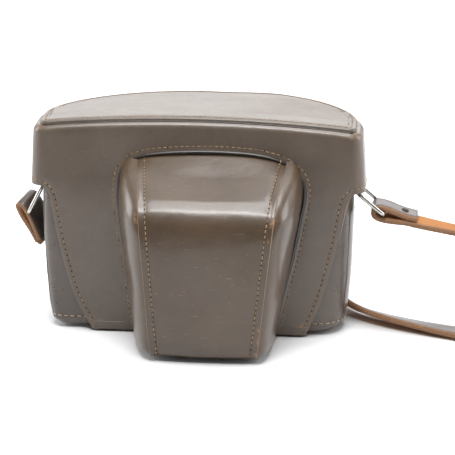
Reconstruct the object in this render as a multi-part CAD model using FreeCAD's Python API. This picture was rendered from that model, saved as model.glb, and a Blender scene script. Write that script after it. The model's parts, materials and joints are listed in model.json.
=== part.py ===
import FreeCAD, Part
import math
import os

# Ever-ready leather case with its neck strap, and the 35 mm rangefinder camera inside it.
# Millimetres. Origin: tripod socket mouth, on the bottom plane. +X right, -Y front (lens), +Z up.

# ---- driving dimensions ----
LEATHER = 2.0            # wall of the moulded case leather
LINING = 0.6             # velvet lining
FRONT_Y = -25.0          # outer face of the cover's front
PANEL_SIDE_END = -8.0    # where the top panel's short sides end and its curved back begins
CROWN_TOP = 102.6        # highest point of the arched top panel
CROWN_DROP = 3.6         # the arch's height over the panel's ends
CASE_X = 1.0             # middle of the case's length
PANEL_HALF = 71.0        # half length of the top panel
SKIRT_LOW = 67.0         # lower edge of the cover at its sides
LIP_LOW = 89.0           # lower edge of the cover at its back
# levels of the cover: height, half length, front, back, end of the short sides
HOOD = [(67.0, 75.7, -25.0, 27.0, -1.0), (84.0, 74.2, -25.0, 26.6, -4.5),
        (95.0, 73.0, -25.0, 26.2, -7.5), (101.0, 71.5, -24.3, 25.6, -8.0)]
HOOD_CORNER = 6.0
# levels of the half case: the same five values
BASE = [(2.0, 65.2, -20.8, 20.6, -4.0), (4.5, 67.3, -22.0, 22.4, -4.0), (12.0, 68.5, -22.3, 23.0, -4.0),
        (27.0, 69.7, -22.4, 23.2, -4.0), (57.0, 70.8, -22.4, 23.4, -4.0), (86.0, 69.9, -22.4, 23.2, -4.0)]
BASE_CORNER = 10.0
BASE_SIDE_TOP = 68.0
BASE_BACK_TOP = 84.5
# left and right edges of the cover's front below the skirt: (x, z)
LEFT_EDGE = [(-47.5, 1.8), (-55.3, 17.5), (-61.2, 39.4), (-64.6, 57.0), (-66.8, 67.0)]
RIGHT_EDGE = [(51.6, 1.8), (57.9, 18.0), (63.4, 39.7), (67.0, 57.0), (69.7, 67.0)]
# nose: y, then x of the left and right sides at the top and at the bottom, top z, bottom z
NOSE = [(-22.8, -31.6, 47.3, -26.6, 36.6, 85.0, 1.8, 10.0),
        (-56.0, -27.2, 43.6, -21.8, 36.2, 73.6, 1.8, 7.0),
        (-60.4, -25.6, 42.0, -20.4, 34.8, 70.6, 3.0, 6.0),
        (-62.0, -22.2, 38.4, -17.4, 31.6, 66.4, 6.0, 4.0)]
HINGE_Y = -22.0          # where the cover's leather bends, along the bottom front edge
SCREW_HOLE_R = 10.2
TAB_Y, SNAP_Z, SNAP_R = 26.9, 94.0, 5.6        # closing tab behind the back, and its press stud
TAB_RIVETS = [(-4.5, 42.0), (4.5, 42.0), (0.0, 50.0)]
PIVOT_X = {"right": 72.9, "left": 70.6}        # ring pivots' distance from the tripod socket
PIVOT_Y, PIVOT_Z = -4.0, 65.8
LUG_ROOT = 61.4
RING_LENGTH, RING_WIDTH, RING_WIRE = 16.0, 14.6, 1.6
RING_DROP = {"right": 40.0, "left": 63.0}      # degrees below horizontal at rest
STRAP_WIDTH, STRAP_THICK = 12.0, 2.5
FOLD_LENGTH = 14.0
FOLD_DIRECTION = {"right": (0.970, -0.243), "left": (0.30, -0.954)}
# camera
CAM_HALF, CAM_FRONT, CAM_BACK = 60.6, -18.8, 11.2
CAM_LOW, CAM_SHELL_LOW, CAM_SHELL_HIGH, CAM_TOP = 5.6, 9.0, 68.0, 80.0
LENS_X, LENS_Z = 8.0, 38.0
KNOB_X, KNOB_Y, KNOB_R, KNOB_TOP = 46.0, -3.0, 9.0, 90.5
SPINDLE_Y = -3.0
SOCKET_R = 3.175         # 1/4 inch tripod thread
FINDER_X, FINDER_HALF = -22.0, 6.0             # viewfinder window
WINDOW_X, WINDOW_HALF = 26.0, 3.0              # rangefinder window, in line with the eyepiece
WINDOW_LOW, WINDOW_HIGH = 71.0, 77.0
EYE_Z = 74.0
TIMER_X, TIMER_Z, TIMER_FOOT = -23.0, 52.0, 36.0
BUTTON_X, BUTTON_Y = -24.0, -8.0
DIAL_X, DIAL_Y = -10.0, -6.0
COUNTER_X, COUNTER_Y = -30.0, 4.0
SPROCKET_X, SPROCKET_Y = -27.0, 1.0
SHOE_X, SHOE_Y, SHOE_WIDTH, SHOE_LENGTH = 8.0, -3.0, 16.0, 16.0
FILM_LOW, FILM_HIGH = 20.0, 55.0               # the film's edges, where the sprocket's teeth stand
LENS_REAR, LENS_FRONT = -10.0, -54.0

# The strap's centre line from the right fold to the left one, with the tilt of its
# width from level (degrees, its near edge up), chosen by hand.
STRAP_ROUTE = [
    (118.0, -6.6, 47.6, -5), (146.0, -12.0, 45.0, -4), (176.0, -19.0, 46.6, 0),
    (212.0, -27.0, 49.6, 0), (226.5, -31.0, 25.6, 0), (212.0, -34.0, 1.4, 0),
    (182.0, -32.6, 1.4, 0), (150.0, -26.6, 1.4, 0), (124.0, -18.0, 1.6, 4),
    (101.0, -10.6, 2.7, 14), (80.0, -0.6, 3.7, 23), (68.0, 10.0, 5.0, 42),
    (61.6, 28.0, 6.8, 68), (61.0, 54.0, 7.2, 88), (60.5, 82.0, 7.2, 90), (38.0, 96.0, 7.2, 90),
    (16.5, 81.0, 7.2, 90), (15.5, 50.0, 7.2, 90), (-6.0, 34.0, 7.2, 90),
    (-27.0, 48.0, 7.2, 90), (-28.0, 74.0, 7.2, 90), (-38.0, 88.0, 7.2, 90),
    (-54.0, 88.0, 7.6, 90), (-64.0, 72.0, 8.8, 88), (-67.5, 46.0, 14.0, 84), (-71.0, 19.0, 25.0, 78)]


def vec(x, y, z):
    return FreeCAD.Vector(x, y, z)


# ---- outlines ----
def plan_wire(half, front, back, corner, z, side_end):
    """D-shaped level outline: straight front, short sides, half-ellipse back."""
    k = corner * (1.0 - math.sqrt(0.5))
    left, right = CASE_X - half, CASE_X + half
    a = vec(left + corner, front, z)
    b = vec(right - corner, front, z)
    c = vec(right, front + corner, z)
    d = vec(right, side_end, z)
    e = vec(left, side_end, z)
    f = vec(left, front + corner, z)
    oval = Part.Ellipse(d, vec(CASE_X, back, z), vec(CASE_X, side_end, z))
    edges = [
        Part.LineSegment(a, b).toShape(),
        Part.Arc(b, vec(right - k, front + k, z), c).toShape(),
        Part.LineSegment(c, d).toShape(),
        Part.Arc(oval, 0.0, math.pi).toShape(),
        Part.LineSegment(e, f).toShape(),
        Part.Arc(f, vec(left + k, front + k, z), a).toShape()]
    return Part.Wire(edges)


def at_level(table, z):
    """Half length, front, back and end of the sides of a lofted form at one height."""
    z = min(max(z, table[0][0]), table[-1][0])
    for low, high in zip(table, table[1:]):
        if z <= high[0]:
            t = (z - low[0]) / (high[0] - low[0])
            return [low[i] + (high[i] - low[i]) * t for i in (1, 2, 3, 4)]
    return list(table[-1][1:])


def lofted(table, corner, inset, low, high):
    levels = [low] + [row[0] for row in table if low + 0.3 < row[0] < high - 0.3] + [high]
    wires = []
    for z in levels:
        half, front, back, side_end = at_level(table, z)
        radius = max(corner - inset, 0.8)
        wires.append(plan_wire(half - inset, front + inset, back - inset, radius, z, side_end))
    return Part.makeLoft(wires, True, True)


def rounded_wire(points, radii, place):
    """Closed outline through 2-D points with rounded corners; place maps (a, b) to a vector."""
    count = len(points)
    edges = []
    joins = []
    for i in range(count):
        p, q, r = points[i - 1], points[i], points[(i + 1) % count]
        u = ((p[0] - q[0]), (p[1] - q[1]))
        w = ((r[0] - q[0]), (r[1] - q[1]))
        lu, lw = math.hypot(*u), math.hypot(*w)
        u, w = (u[0] / lu, u[1] / lu), (w[0] / lw, w[1] / lw)
        half_angle = 0.5 * math.acos(max(-1.0, min(1.0, u[0] * w[0] + u[1] * w[1])))
        reach = radii[i] / math.tan(half_angle)
        start = (q[0] + u[0] * reach, q[1] + u[1] * reach)
        end = (q[0] + w[0] * reach, q[1] + w[1] * reach)
        bis = (u[0] + w[0], u[1] + w[1])
        lb = math.hypot(*bis)
        gap = radii[i] / math.sin(half_angle) - radii[i]
        middle = (q[0] + bis[0] / lb * gap, q[1] + bis[1] / lb * gap)
        joins.append((start, middle, end))
    for i in range(count):
        start, middle, end = joins[i]
        edges.append(Part.Arc(place(*start), place(*middle), place(*end)).toShape())
        edges.append(Part.LineSegment(place(*end), place(*joins[(i + 1) % count][0])).toShape())
    return Part.Wire(edges)


def in_front_plane(y):
    return lambda a, b: vec(a, y, b)


def in_side_plane(x):
    return lambda a, b: vec(x, a, b)


def prism(wire, direction):
    return Part.Face(wire).extrude(direction)


def box(x0, x1, y0, y1, z0, z1):
    return Part.makeBox(x1 - x0, y1 - y0, z1 - z0, vec(x0, y0, z0))


def rod_y(x, z, r, y0, y1):
    return Part.makeCylinder(r, y1 - y0, vec(x, y0, z), vec(0, 1, 0))


def rod_z(x, y, r, z0, z1):
    return Part.makeCylinder(r, z1 - z0, vec(x, y, z0), vec(0, 0, 1))


def ring_y(x, z, outer, inner, y0, y1):
    return rod_y(x, z, outer, y0, y1).cut(rod_y(x, z, inner, y0 - 1, y1 + 1))


def knurled(x, y, r, z0, z1, teeth, depth):
    """A knob with straight grooves round its rim."""
    knob = rod_z(x, y, r, z0, z1)
    grooves = []
    for i in range(teeth):
        angle = 2 * math.pi * i / teeth
        grooves.append(rod_z(x + r * math.cos(angle), y + r * math.sin(angle), depth, z0 - 1, z1 + 1))
    return knob.cut(grooves)


def crown(drop):
    """Large cylinder under the arched top, lowered by drop."""
    radius = (PANEL_HALF ** 2 + CROWN_DROP ** 2) / (2 * CROWN_DROP)
    return Part.makeCylinder(radius - drop, 200, vec(CASE_X, -100, CROWN_TOP - radius), vec(0, 1, 0))


# ---- cover ----
def front_panel_outline():
    left = Part.BSplineCurve()
    left.interpolate([vec(x, FRONT_Y, z) for x, z in LEFT_EDGE])
    right = Part.BSplineCurve()
    right.interpolate([vec(x, FRONT_Y, z) for x, z in RIGHT_EDGE])
    low = Part.LineSegment(vec(*left_low()), vec(*right_low())).toShape()
    top_left = vec(LEFT_EDGE[-1][0], FRONT_Y, LEFT_EDGE[-1][1])
    top_right = vec(RIGHT_EDGE[-1][0], FRONT_Y, RIGHT_EDGE[-1][1])
    rise = vec(0, 0, 4)
    sides = [Part.LineSegment(top_right, top_right + rise).toShape(),
             Part.LineSegment(top_right + rise, top_left + rise).toShape(),
             Part.LineSegment(top_left + rise, top_left).toShape()]
    return Part.Wire(Part.__sortEdges__([low, right.toShape(), left.toShape()] + sides))


def left_low():
    return (LEFT_EDGE[0][0], FRONT_Y, LEFT_EDGE[0][1])


def right_low():
    return (RIGHT_EDGE[0][0], FRONT_Y, RIGHT_EDGE[0][1])


def nose_solid(inset, grow_back):
    """The nose's outer form, or its hollow when inset by the leather."""
    wires = []
    for y, lt, rt, lb, rb, top, low, radius in NOSE:
        points = [(lb + inset, low + inset), (rb - inset, low + inset),
                  (rt - inset, top - inset), (lt + inset, top - inset)]
        small = min(3.0, radius)
        radii = [small, small, max(radius - inset, 1.0), max(radius - inset, 1.0)]
        place_y = y + (inset if y < -50 else grow_back)
        wires.append(rounded_wire(points, radii, in_front_plane(place_y)))
    return Part.makeLoft(wires, True, True)


def back_cutaway():
    """Space under the cover's back lip, rising in a curve from the side skirts."""
    low, high = SKIRT_LOW - 8, LIP_LOW
    points = [(-2.0, low), (60.0, low), (60.0, high), (12.0, high)]
    wire = rounded_wire(points, [0.5, 0.5, 0.5, 8.0], in_side_plane(-100))
    return prism(wire, vec(200, 0, 0))


def nose_planes():
    """The two seam planes that part the nose's strip from its side gussets."""
    cuts = []
    for side, a, b, c in (
            (-1, (-25.5, -22, 83), (-21.2, -62, 67), (-16.5, -62, 5)),
            (1, (42.0, -22, 83), (37.7, -62, 67), (31.1, -62, 5))):
        a, b, c = vec(*a), vec(*b), vec(*c)
        normal = (b - a).cross(c - a).normalize()
        if normal.x * side < 0:
            normal = normal * -1
        along = (b - a).normalize()
        across = normal.cross(along)
        mid = (a + b + c) * (1.0 / 3)
        corners = [mid + along * 90 + across * 90, mid - along * 90 + across * 90,
                   mid - along * 90 - across * 90, mid + along * 90 - across * 90]
        face = Part.Face(Part.makePolygon(corners + [corners[0]]))
        cuts.append(face.extrude(normal * 60))
    return cuts


def cover_parts():
    outer = lofted(HOOD, HOOD_CORNER, 0, SKIRT_LOW, 106)
    inner = lofted(HOOD, HOOD_CORNER, LEATHER, SKIRT_LOW - 1, 107)
    nose = nose_solid(0, 0)
    hollow = nose_solid(LEATHER, 0)
    wall = outer.cut(inner).common(crown(LEATHER + 0.4))
    wall = wall.cut(back_cutaway())
    panel = prism(front_panel_outline(), vec(0, LEATHER, 0))
    hood = wall.fuse(panel).cut(nose).removeSplitter()
    full = plan_solid(PANEL_HALF, -24.6, 25.2, 5.0, 90, 106)
    top = full.common(crown(0)).cut(crown(LEATHER + 0.4))
    rim_out = plan_solid(PANEL_HALF + 1.6, -26.0, 26.6, 6.0, 90, 106)
    rim = rim_out.cut(full).common(crown(0.9)).cut(crown(LEATHER + 0.4))
    walls = nose.cut(hollow).cut(box(-40, 60, -23.0, -20.0, -5, 95))
    left_half, right_half = nose_planes()
    strip = walls.cut([left_half, right_half])
    lining = lofted(HOOD, HOOD_CORNER, LEATHER, SKIRT_LOW + 5, 95.4)
    lining = lining.cut(lofted(HOOD, HOOD_CORNER, LEATHER + LINING, SKIRT_LOW + 4, 98))
    lining = lining.cut(back_cutaway()).cut(nose).cut(box(-80, 80, 3.0, 40, 60, 100))
    stud = rod_y(0, SNAP_Z, 1.9, TAB_Y - 0.6, TAB_Y + 1.3).fuse(rod_y(0, SNAP_Z, 4.0, TAB_Y - 1.5, TAB_Y - 0.3))
    hood = hood.cut(stud)
    return {
        "cover_hood": hood, "cover_top_panel": top, "top_welt": rim, "nose_front_strip": strip,
        "nose_side_left": walls.common(left_half), "nose_side_right": walls.common(right_half),
        "nose_welt": nose_welt(nose), "cover_lining": lining, "snap_stud": stud}


def plan_solid(half, front, back, corner, low, high):
    return prism(plan_wire(half, front, back, corner, low, PANEL_SIDE_END), vec(0, 0, high - low))


def nose_welt(nose):
    """Raised welt round the nose's opening, on the cover's front."""
    first = NOSE[0]
    _, lt, rt, lb, rb, top, low, radius = first
    grow = 2.4
    points = [(lb - grow, low + 2.0), (rb + grow, low + 2.0), (rt + grow, top + grow), (lt - grow, top + grow)]
    wire = rounded_wire(points, [2.0, 2.0, radius + grow, radius + grow], in_front_plane(FRONT_Y - 1.6))
    return prism(wire, vec(0, 1.6, 0)).cut(nose)


# ---- half case ----
def base_mask():
    """What the half case keeps: high at the back, lower at the sides and front."""
    keep = box(-80, 80, -30, 30, 0, BASE_SIDE_TOP)
    slope = rounded_wire(
        [(-65.0, 60.0), (65.0, 60.0), (54.0, BASE_BACK_TOP), (-54.0, BASE_BACK_TOP)],
        [1.0, 1.0, 5.0, 5.0], in_front_plane(0.0))
    return keep.fuse(prism(slope, vec(0, 40, 0)))


def lug_slots():
    slots = []
    for side in (-1, 1):
        points = [(-13.5, 57.0), (5.5, 57.0), (5.5, 90.0), (-13.5, 90.0)]
        wire = rounded_wire(points, [4.0, 4.0, 1.0, 1.0], in_side_plane(side * 58.0))
        slots.append(prism(wire, vec(side * 20, 0, 0)))
    return slots


def lens_cutout():
    points = [(-43.0, 12.0), (47.0, 12.0), (47.0, 90.0), (-43.0, 90.0)]
    return prism(rounded_wire(points, [16.0, 16.0, 1.0, 1.0], in_front_plane(-30)), vec(0, 12.4, 0))


def base_parts():
    bottom = BASE[0][0]
    outer = lofted(BASE, BASE_CORNER, 0, bottom, 86)
    inner = lofted(BASE, BASE_CORNER, LEATHER, bottom + LEATHER, 88)
    shell = outer.cut(inner).common(base_mask())
    shell = shell.cut(lug_slots() + [lens_cutout(), rod_z(0, 0, SCREW_HOLE_R, 0, 5)])
    lining = inner.cut(lofted(BASE, BASE_CORNER, LEATHER + LINING, bottom + LEATHER + LINING, 89))
    lining = lining.common(base_mask()).cut(lug_slots() + [lens_cutout(), rod_z(0, 0, SCREW_HOLE_R, 0, 7)])
    lining = lining.common(box(-80, 80, -30, 30, 0, 83))
    strip_points = [(-46.0, HINGE_Y + 0.3), (50.0, HINGE_Y + 0.3), (24.0, 13.0), (-24.0, 13.0)]
    wire = rounded_wire(strip_points, [1.5, 1.5, 9.0, 9.0], lambda a, b: vec(a, b, 0))
    strip = prism(wire, vec(0, 0, bottom)).cut(rod_z(0, 0, SCREW_HOLE_R, -1, 3))
    sole_wire = plan_wire(57.0, -17.0, 13.0, 8.0, 1.2, -4.0)
    sole = prism(sole_wire, vec(0, 0, 0.8)).cut(strip_clearance())
    cup = rod_z(0, 0, SCREW_HOLE_R, 0.2, 5.5).cut([rod_z(0, 0, 8.6, -1, 3.9), rod_z(0, 0, 3.6, 3, 7)])
    return {"base_shell": shell, "base_lining": lining, "hinge_strip": strip, "base_sole": sole,
            "screw_cup": cup}


def strip_clearance():
    points = [(-47.0, -40.0), (51.0, -40.0), (51.0, HINGE_Y + 1),
              (24.6, 13.6), (-24.6, 13.6), (-47.0, HINGE_Y + 1)]
    wire = Part.makePolygon([vec(a, b, 0) for a, b in points + points[:1]])
    return Part.Face(wire).extrude(vec(0, 0, 4))


def retaining_screw():
    """Large knurled head with the case's own tripod socket; its stud holds the camera."""
    head = knurled(0, 0, 8.3, 0.0, 3.6, 32, 0.45)
    stud = rod_z(0, 0, 3.0, 3.0, 8.4)
    return head.fuse(stud).cut(rod_z(0, 0, SOCKET_R, -1, 3.2))


def closing_tab():
    outline = rounded_wire([(-8.0, 56.0), (8.0, 56.0), (7.5, SNAP_Z + 5), (-7.5, SNAP_Z + 5)],
                           [1.0, 1.0, 7.0, 7.0], in_front_plane(TAB_Y))
    return prism(outline, vec(0, LEATHER, 0)).cut(rod_y(0, SNAP_Z, 3.2, 20, 32))


def snap_cap():
    """The press stud's button, on the tab's outer face."""
    face = TAB_Y + LEATHER
    return ring_y(0, SNAP_Z, SNAP_R, 3.2, face, face + 1.3).fuse(rod_y(0, SNAP_Z, SNAP_R, face + 0.5, face + 1.3))


def tab_anchor():
    """The tab's foot, riveted to the half case."""
    outline = rounded_wire([(-11.0, 34.0), (11.0, 34.0), (9.0, 55.5), (-9.0, 55.5)],
                           [6.0, 6.0, 1.0, 1.0], in_front_plane(23.0))
    return prism(outline, vec(0, 3.4, 0))


def tab_parts():
    back = lofted(BASE, BASE_CORNER, 0, BASE[0][0], 86)
    rivets = [rod_y(x, z, 2.2, 22.9, 27.2).cut(back) for x, z in TAB_RIVETS]
    return {"closing_tab": closing_tab(), "snap_cap": snap_cap(), "tab_anchor": tab_anchor().cut(back).cut(rivets),
            "tab_rivets": Part.makeCompound(rivets)}


# ---- rings and folds ----
def turned(shape, direction):
    """Puts a shape drawn in (u along x, v along z) from a ring's pivot onto the case's end."""
    angle = math.degrees(math.atan2(-direction[1], direction[0]))
    shape.rotate(vec(0, 0, 0), vec(0, 1, 0), angle)
    return shape


def ring(side):
    """A flat rounded link of bar; its inner side lies in the lug's eye."""
    half = RING_WIDTH / 2
    wire = RING_WIRE / 2
    outer = rounded_wire([(-wire, -half - wire), (RING_LENGTH + wire, -half - wire),
                          (RING_LENGTH + wire, half + wire), (-wire, half + wire)],
                         [2.6] * 4, lambda a, b: vec(a, b, -wire))
    inner = rounded_wire([(wire, -half + wire), (RING_LENGTH - wire, -half + wire),
                          (RING_LENGTH - wire, half - wire), (wire, half - wire)],
                         [1.0] * 4, lambda a, b: vec(a, b, -wire - 1))
    link = prism(outer, vec(0, 0, RING_WIRE)).cut(prism(inner, vec(0, 0, RING_WIRE + 2)))
    sharp = [e for e in link.Edges if abs(e.BoundBox.ZLength) < 1e-6]
    link = link.makeFillet(0.5, sharp)
    drop = math.radians(RING_DROP[side])
    sign = 1 if side == "right" else -1
    link = turned(link, (sign * math.cos(drop), -math.sin(drop)))
    link.translate(vec(sign * PIVOT_X[side], PIVOT_Y, PIVOT_Z))
    return link


def bar_place(side):
    """Centre of the ring's outer bar."""
    drop = math.radians(RING_DROP[side])
    sign = 1 if side == "right" else -1
    reach = PIVOT_X[side] + RING_LENGTH * math.cos(drop)
    return vec(sign * reach, PIVOT_Y, PIVOT_Z - RING_LENGTH * math.sin(drop))


def fold_frame(side):
    """Direction along the fold's plies and the direction from the lower ply to the tab."""
    x, z = FOLD_DIRECTION[side]
    along = vec(x, 0, z)
    up = vec(-z, 0, x) if side == "right" else vec(z, 0, -x)
    return along, up


def fold(side):
    """The strap's end: under the ring's bar, round it and back on itself as a short tab."""
    along, up = fold_frame(side)
    centre = bar_place(side)

    def place(a, b):
        return centre + along * a + up * b - vec(0, STRAP_WIDTH / 2, 0)
    r = RING_WIRE / 2 + 0.35 + STRAP_THICK
    t = STRAP_THICK
    outline = [Part.Arc(place(0, r), place(-r, 0), place(0, -r)).toShape(),
               Part.LineSegment(place(0, -r), place(6, -t)).toShape(),
               Part.LineSegment(place(6, -t), place(FOLD_LENGTH, -t)).toShape(),
               Part.LineSegment(place(FOLD_LENGTH, -t), place(FOLD_LENGTH, t)).toShape(),
               Part.LineSegment(place(FOLD_LENGTH, t), place(6, t)).toShape(),
               Part.LineSegment(place(6, t), place(0, r)).toShape()]
    body = prism(Part.Wire(outline), vec(0, STRAP_WIDTH, 0))
    s = r - t
    eye = [Part.Arc(place(0, s), place(-s, 0), place(0, -s)).toShape(),
           Part.LineSegment(place(0, -s), place(4.4, 0)).toShape(),
           Part.LineSegment(place(4.4, 0), place(0, s)).toShape()]
    hole = prism(Part.Wire(eye), vec(0, STRAP_WIDTH + 2, 0))
    hole.translate(vec(0, -1, 0))
    rivet = fold_rivet(side)
    return body.cut([hole, rivet])


def fold_rivet(side):
    along, up = fold_frame(side)
    start = bar_place(side) + along * 9.2 - up * (STRAP_THICK + 0.5)
    return Part.makeCylinder(1.7, 2 * STRAP_THICK + 1.0, start, up)


# ---- strap ----
def strap_points():
    """Route from the right fold's lower ply to the left one's, with tilts."""
    ends = []
    for side in ("right", "left"):
        along, up = fold_frame(side)
        ends.append(bar_place(side) + along * FOLD_LENGTH - up * (STRAP_THICK / 2))
    first = [(ends[0], 0.0)]
    last = [(ends[1], 90.0)]
    return first + [(vec(x, y, z), float(t)) for x, y, z, t in STRAP_ROUTE] + last


def strap_stations():
    """Stations on straight runs joined by tangent arcs, with the tilt at each."""
    route = strap_points()
    stations = [(route[0][0], route[0][1])]
    radii = []
    for before, here, after in zip(route, route[1:], route[2:]):
        into = (here[0] - before[0])
        out = (after[0] - here[0])
        shorter = min(into.Length, out.Length)
        turn = into.getAngle(out)
        reach = 0.45 * shorter
        radii.append(reach / math.tan(turn / 2))
        a = here[0] - into * (reach / into.Length)
        b = here[0] + out * (reach / out.Length)
        steps = max(2, int(math.degrees(turn) / 9))
        for i in range(steps + 1):
            t = i / steps
            p = a * ((1 - t) ** 2) + here[0] * (2 * t * (1 - t)) + b * (t ** 2)
            tilt = here[1] + (before[1] - here[1]) * 0.45 * (1 - t) ** 2 + (after[1] - here[1]) * 0.45 * t ** 2
            stations.append((p, tilt))
    stations.append((route[-1][0], route[-1][1]))
    print("strap bend radii, mm:", [round(r) for r in radii])
    return stations


def strap_sections(stations):
    """Four corners of the band's section at each station, its width turned by the tilt."""
    sections = []
    level = vec(0, 1, 0)
    for i, (p, tilt) in enumerate(stations):
        after = stations[min(i + 1, len(stations) - 1)][0]
        before = stations[max(i - 1, 0)][0]
        along = (after - before).normalize()
        if i == 0:
            along = fold_frame("right")[0]
        if i == len(stations) - 1:
            along = fold_frame("left")[0] * -1
        level = level_across(along, level)
        rise = level.cross(along).normalize()
        angle = math.radians(tilt)
        wide = level * math.cos(angle) - rise * math.sin(angle)
        if i == len(stations) - 1:
            wide = vec(0, -1, 0)
        thick = wide.cross(along).normalize()
        sections.append([p + wide * (STRAP_WIDTH / 2 * s) + thick * (STRAP_THICK / 2 * k)
                         for s, k in ((-1, -1), (1, -1), (1, 1), (-1, 1))])
    return sections


def level_across(along, last):
    """The level direction across the run, on the same side as at the last station."""
    flat = vec(-along.y, along.x, 0)
    if flat.Length < 0.5:
        return (last - along * last.dot(along)).normalize()
    flat = flat.normalize()
    return flat if flat.dot(last) > 0 else flat * -1


def strap():
    """A flat band: one closed shell of triangles through its rectangular sections."""
    stations = strap_stations()
    sections = strap_sections(stations)
    faces = []
    for one, two in zip(sections, sections[1:]):
        for k in range(4):
            m = (k + 1) % 4
            faces.append(triangle(one[k], one[m], two[m]))
            faces.append(triangle(one[k], two[m], two[k]))
    for end in (sections[0], sections[-1]):
        faces.append(triangle(end[0], end[1], end[2]))
        faces.append(triangle(end[0], end[2], end[3]))
    shape = Part.Solid(Part.makeShell(faces))
    if shape.Volume < 0:
        shape.reverse()
    length = sum((b[0] - a[0]).Length for a, b in zip(stations, stations[1:]))
    print("strap length", round(length, 1), "volume / (section x length)",
          round(shape.Volume / (STRAP_WIDTH * STRAP_THICK * length), 3))
    return shape


def triangle(a, b, c):
    return Part.Face(Part.makePolygon([a, b, c, a]))


# ---- camera ----
def stadium(inset, low, high):
    """The camera body's level outline: flat front and back, half-round ends."""
    r = (CAM_BACK - CAM_FRONT) / 2 - inset
    mid = (CAM_BACK + CAM_FRONT) / 2
    half = CAM_HALF - (CAM_BACK - CAM_FRONT) / 2
    ends = [rod_z(s * half, mid, r, low, high) for s in (-1, 1)]
    return box(-half, half, mid - r, mid + r, low, high).fuse(ends).removeSplitter()


def timer_hole():
    return rod_y(TIMER_X, TIMER_Z, 2.6, -30, -15)


def camera_body_parts():
    wall = stadium(0, CAM_SHELL_LOW, CAM_SHELL_HIGH).cut(
        stadium(1.6, CAM_SHELL_LOW - 1, CAM_SHELL_HIGH + 1))
    rear = box(-90, 90, 9.0, 30, 0, 100)
    mount_hole = rod_y(LENS_X, LENS_Z, 18.0, -30, 0)
    covering = stadium(-0.5, 12, 65).cut(stadium(0, 11, 66)).cut(rod_y(LENS_X, LENS_Z, 23.2, -30, 0))
    bottom = stadium(1.0, CAM_LOW, CAM_SHELL_LOW).cut(rod_z(0, 0, 3.2, 0, 20))
    return {
        "body_shell": wall.cut([rear, mount_hole, timer_hole()]), "back_cover": wall.common(rear),
        "body_covering": covering.cut(timer_hole()), "bottom_plate": bottom, "top_plate": top_plate(),
        "pressure_plate": box(-20, 36, CAM_BACK - 3.2, CAM_BACK - 1.7, FILM_LOW - 2, FILM_HIGH + 3),
        "shutter_curtains": box(-18, 18, 3.2, 3.9, FILM_LOW - 2, FILM_HIGH + 5)}


def top_plate():
    """Hollow cap with holes for the windows, the eyepiece and the controls' shafts."""
    top = stadium(0.2, CAM_SHELL_HIGH, CAM_TOP).cut(stadium(1.4, CAM_SHELL_HIGH - 1, CAM_TOP - 1.4))
    for x, half in ((FINDER_X, FINDER_HALF), (WINDOW_X, WINDOW_HALF)):
        top = top.cut(box(x - half, x + half, -30, -10, WINDOW_LOW - 0.4, WINDOW_HIGH + 0.4))
    shafts = [(-KNOB_X, KNOB_Y, 3.1), (KNOB_X, KNOB_Y, 3.1), (BUTTON_X, BUTTON_Y, 2.6),
              (DIAL_X, DIAL_Y, 2.2), (COUNTER_X, COUNTER_Y, 2.9)]
    top = top.cut([rod_z(x, y, r, 60, 90) for x, y, r in shafts])
    top = top.cut(rod_y(WINDOW_X, EYE_Z, 3.2, 5, 20))
    upper = [e for e in top.Edges if abs(e.BoundBox.ZMin - CAM_TOP) < 1e-3 and e.Length > 30]
    return top.makeFillet(0.8, upper)


def window_pane(x, half):
    return box(x - half + 0.4, x + half - 0.4, -18.2, -17.2, WINDOW_LOW - 0.1, WINDOW_HIGH + 0.1)


def window_bezel(x, half):
    frame = box(x - half - 1, x + half + 1, -19.3, -18.6, WINDOW_LOW - 1.2, WINDOW_HIGH + 1.2)
    return frame.cut(box(x - half + 0.4, x + half - 0.4, -20, -18, WINDOW_LOW, WINDOW_HIGH))


def eyepiece():
    tube = ring_y(WINDOW_X, EYE_Z, 3.0, 1.8, 8.0, 14.2).fuse(ring_y(WINDOW_X, EYE_Z, 4.4, 1.8, 12.9, 14.2))
    return tube.fuse(rod_y(WINDOW_X, EYE_Z, 1.9, 10, 10.8))


def accessory_shoe():
    """Plate with two side rails folded inwards over it."""
    x0, x1 = SHOE_X - SHOE_WIDTH / 2, SHOE_X + SHOE_WIDTH / 2
    y0, y1 = SHOE_Y - SHOE_LENGTH / 2, SHOE_Y + SHOE_LENGTH / 2
    shoe = box(x0, x1, y0, y1, CAM_TOP, CAM_TOP + 0.7)
    for wall in (x0, x1 - 1.4):
        shoe = shoe.fuse(box(wall, wall + 1.4, y0, y1, CAM_TOP, CAM_TOP + 3.2))
    for rail in (x0, x1 - 3.4):
        shoe = shoe.fuse(box(rail, rail + 3.4, y0, y1, CAM_TOP + 2.6, CAM_TOP + 3.4))
    return shoe


def finder_parts():
    block = box(FINDER_X - 5, WINDOW_X + 3, -16.8, -12.5, WINDOW_LOW, WINDOW_HIGH)
    block = block.fuse(box(WINDOW_X - 4, WINDOW_X + 3, -12.6, 7.4, WINDOW_LOW, WINDOW_HIGH)).removeSplitter()
    bezels = [window_bezel(FINDER_X, FINDER_HALF), window_bezel(WINDOW_X, WINDOW_HALF)]
    return {
        "viewfinder_window": window_pane(FINDER_X, FINDER_HALF),
        "rangefinder_window": window_pane(WINDOW_X, WINDOW_HALF),
        "window_bezels": Part.makeCompound(bezels), "viewfinder_block": block,
        "eyepiece": eyepiece(), "accessory_shoe": accessory_shoe()}


# ---- lens ----
def knurled_y(r, inner, y0, y1, teeth, depth):
    """A lens ring with straight grooves round its rim."""
    body = ring_y(LENS_X, LENS_Z, r, inner, y0, y1)
    grooves = []
    for i in range(teeth):
        angle = 2 * math.pi * i / teeth
        grooves.append(rod_y(LENS_X + r * math.cos(angle), LENS_Z + r * math.sin(angle), depth, y0 + 1, y1 - 1))
    return body.cut(grooves)


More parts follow.
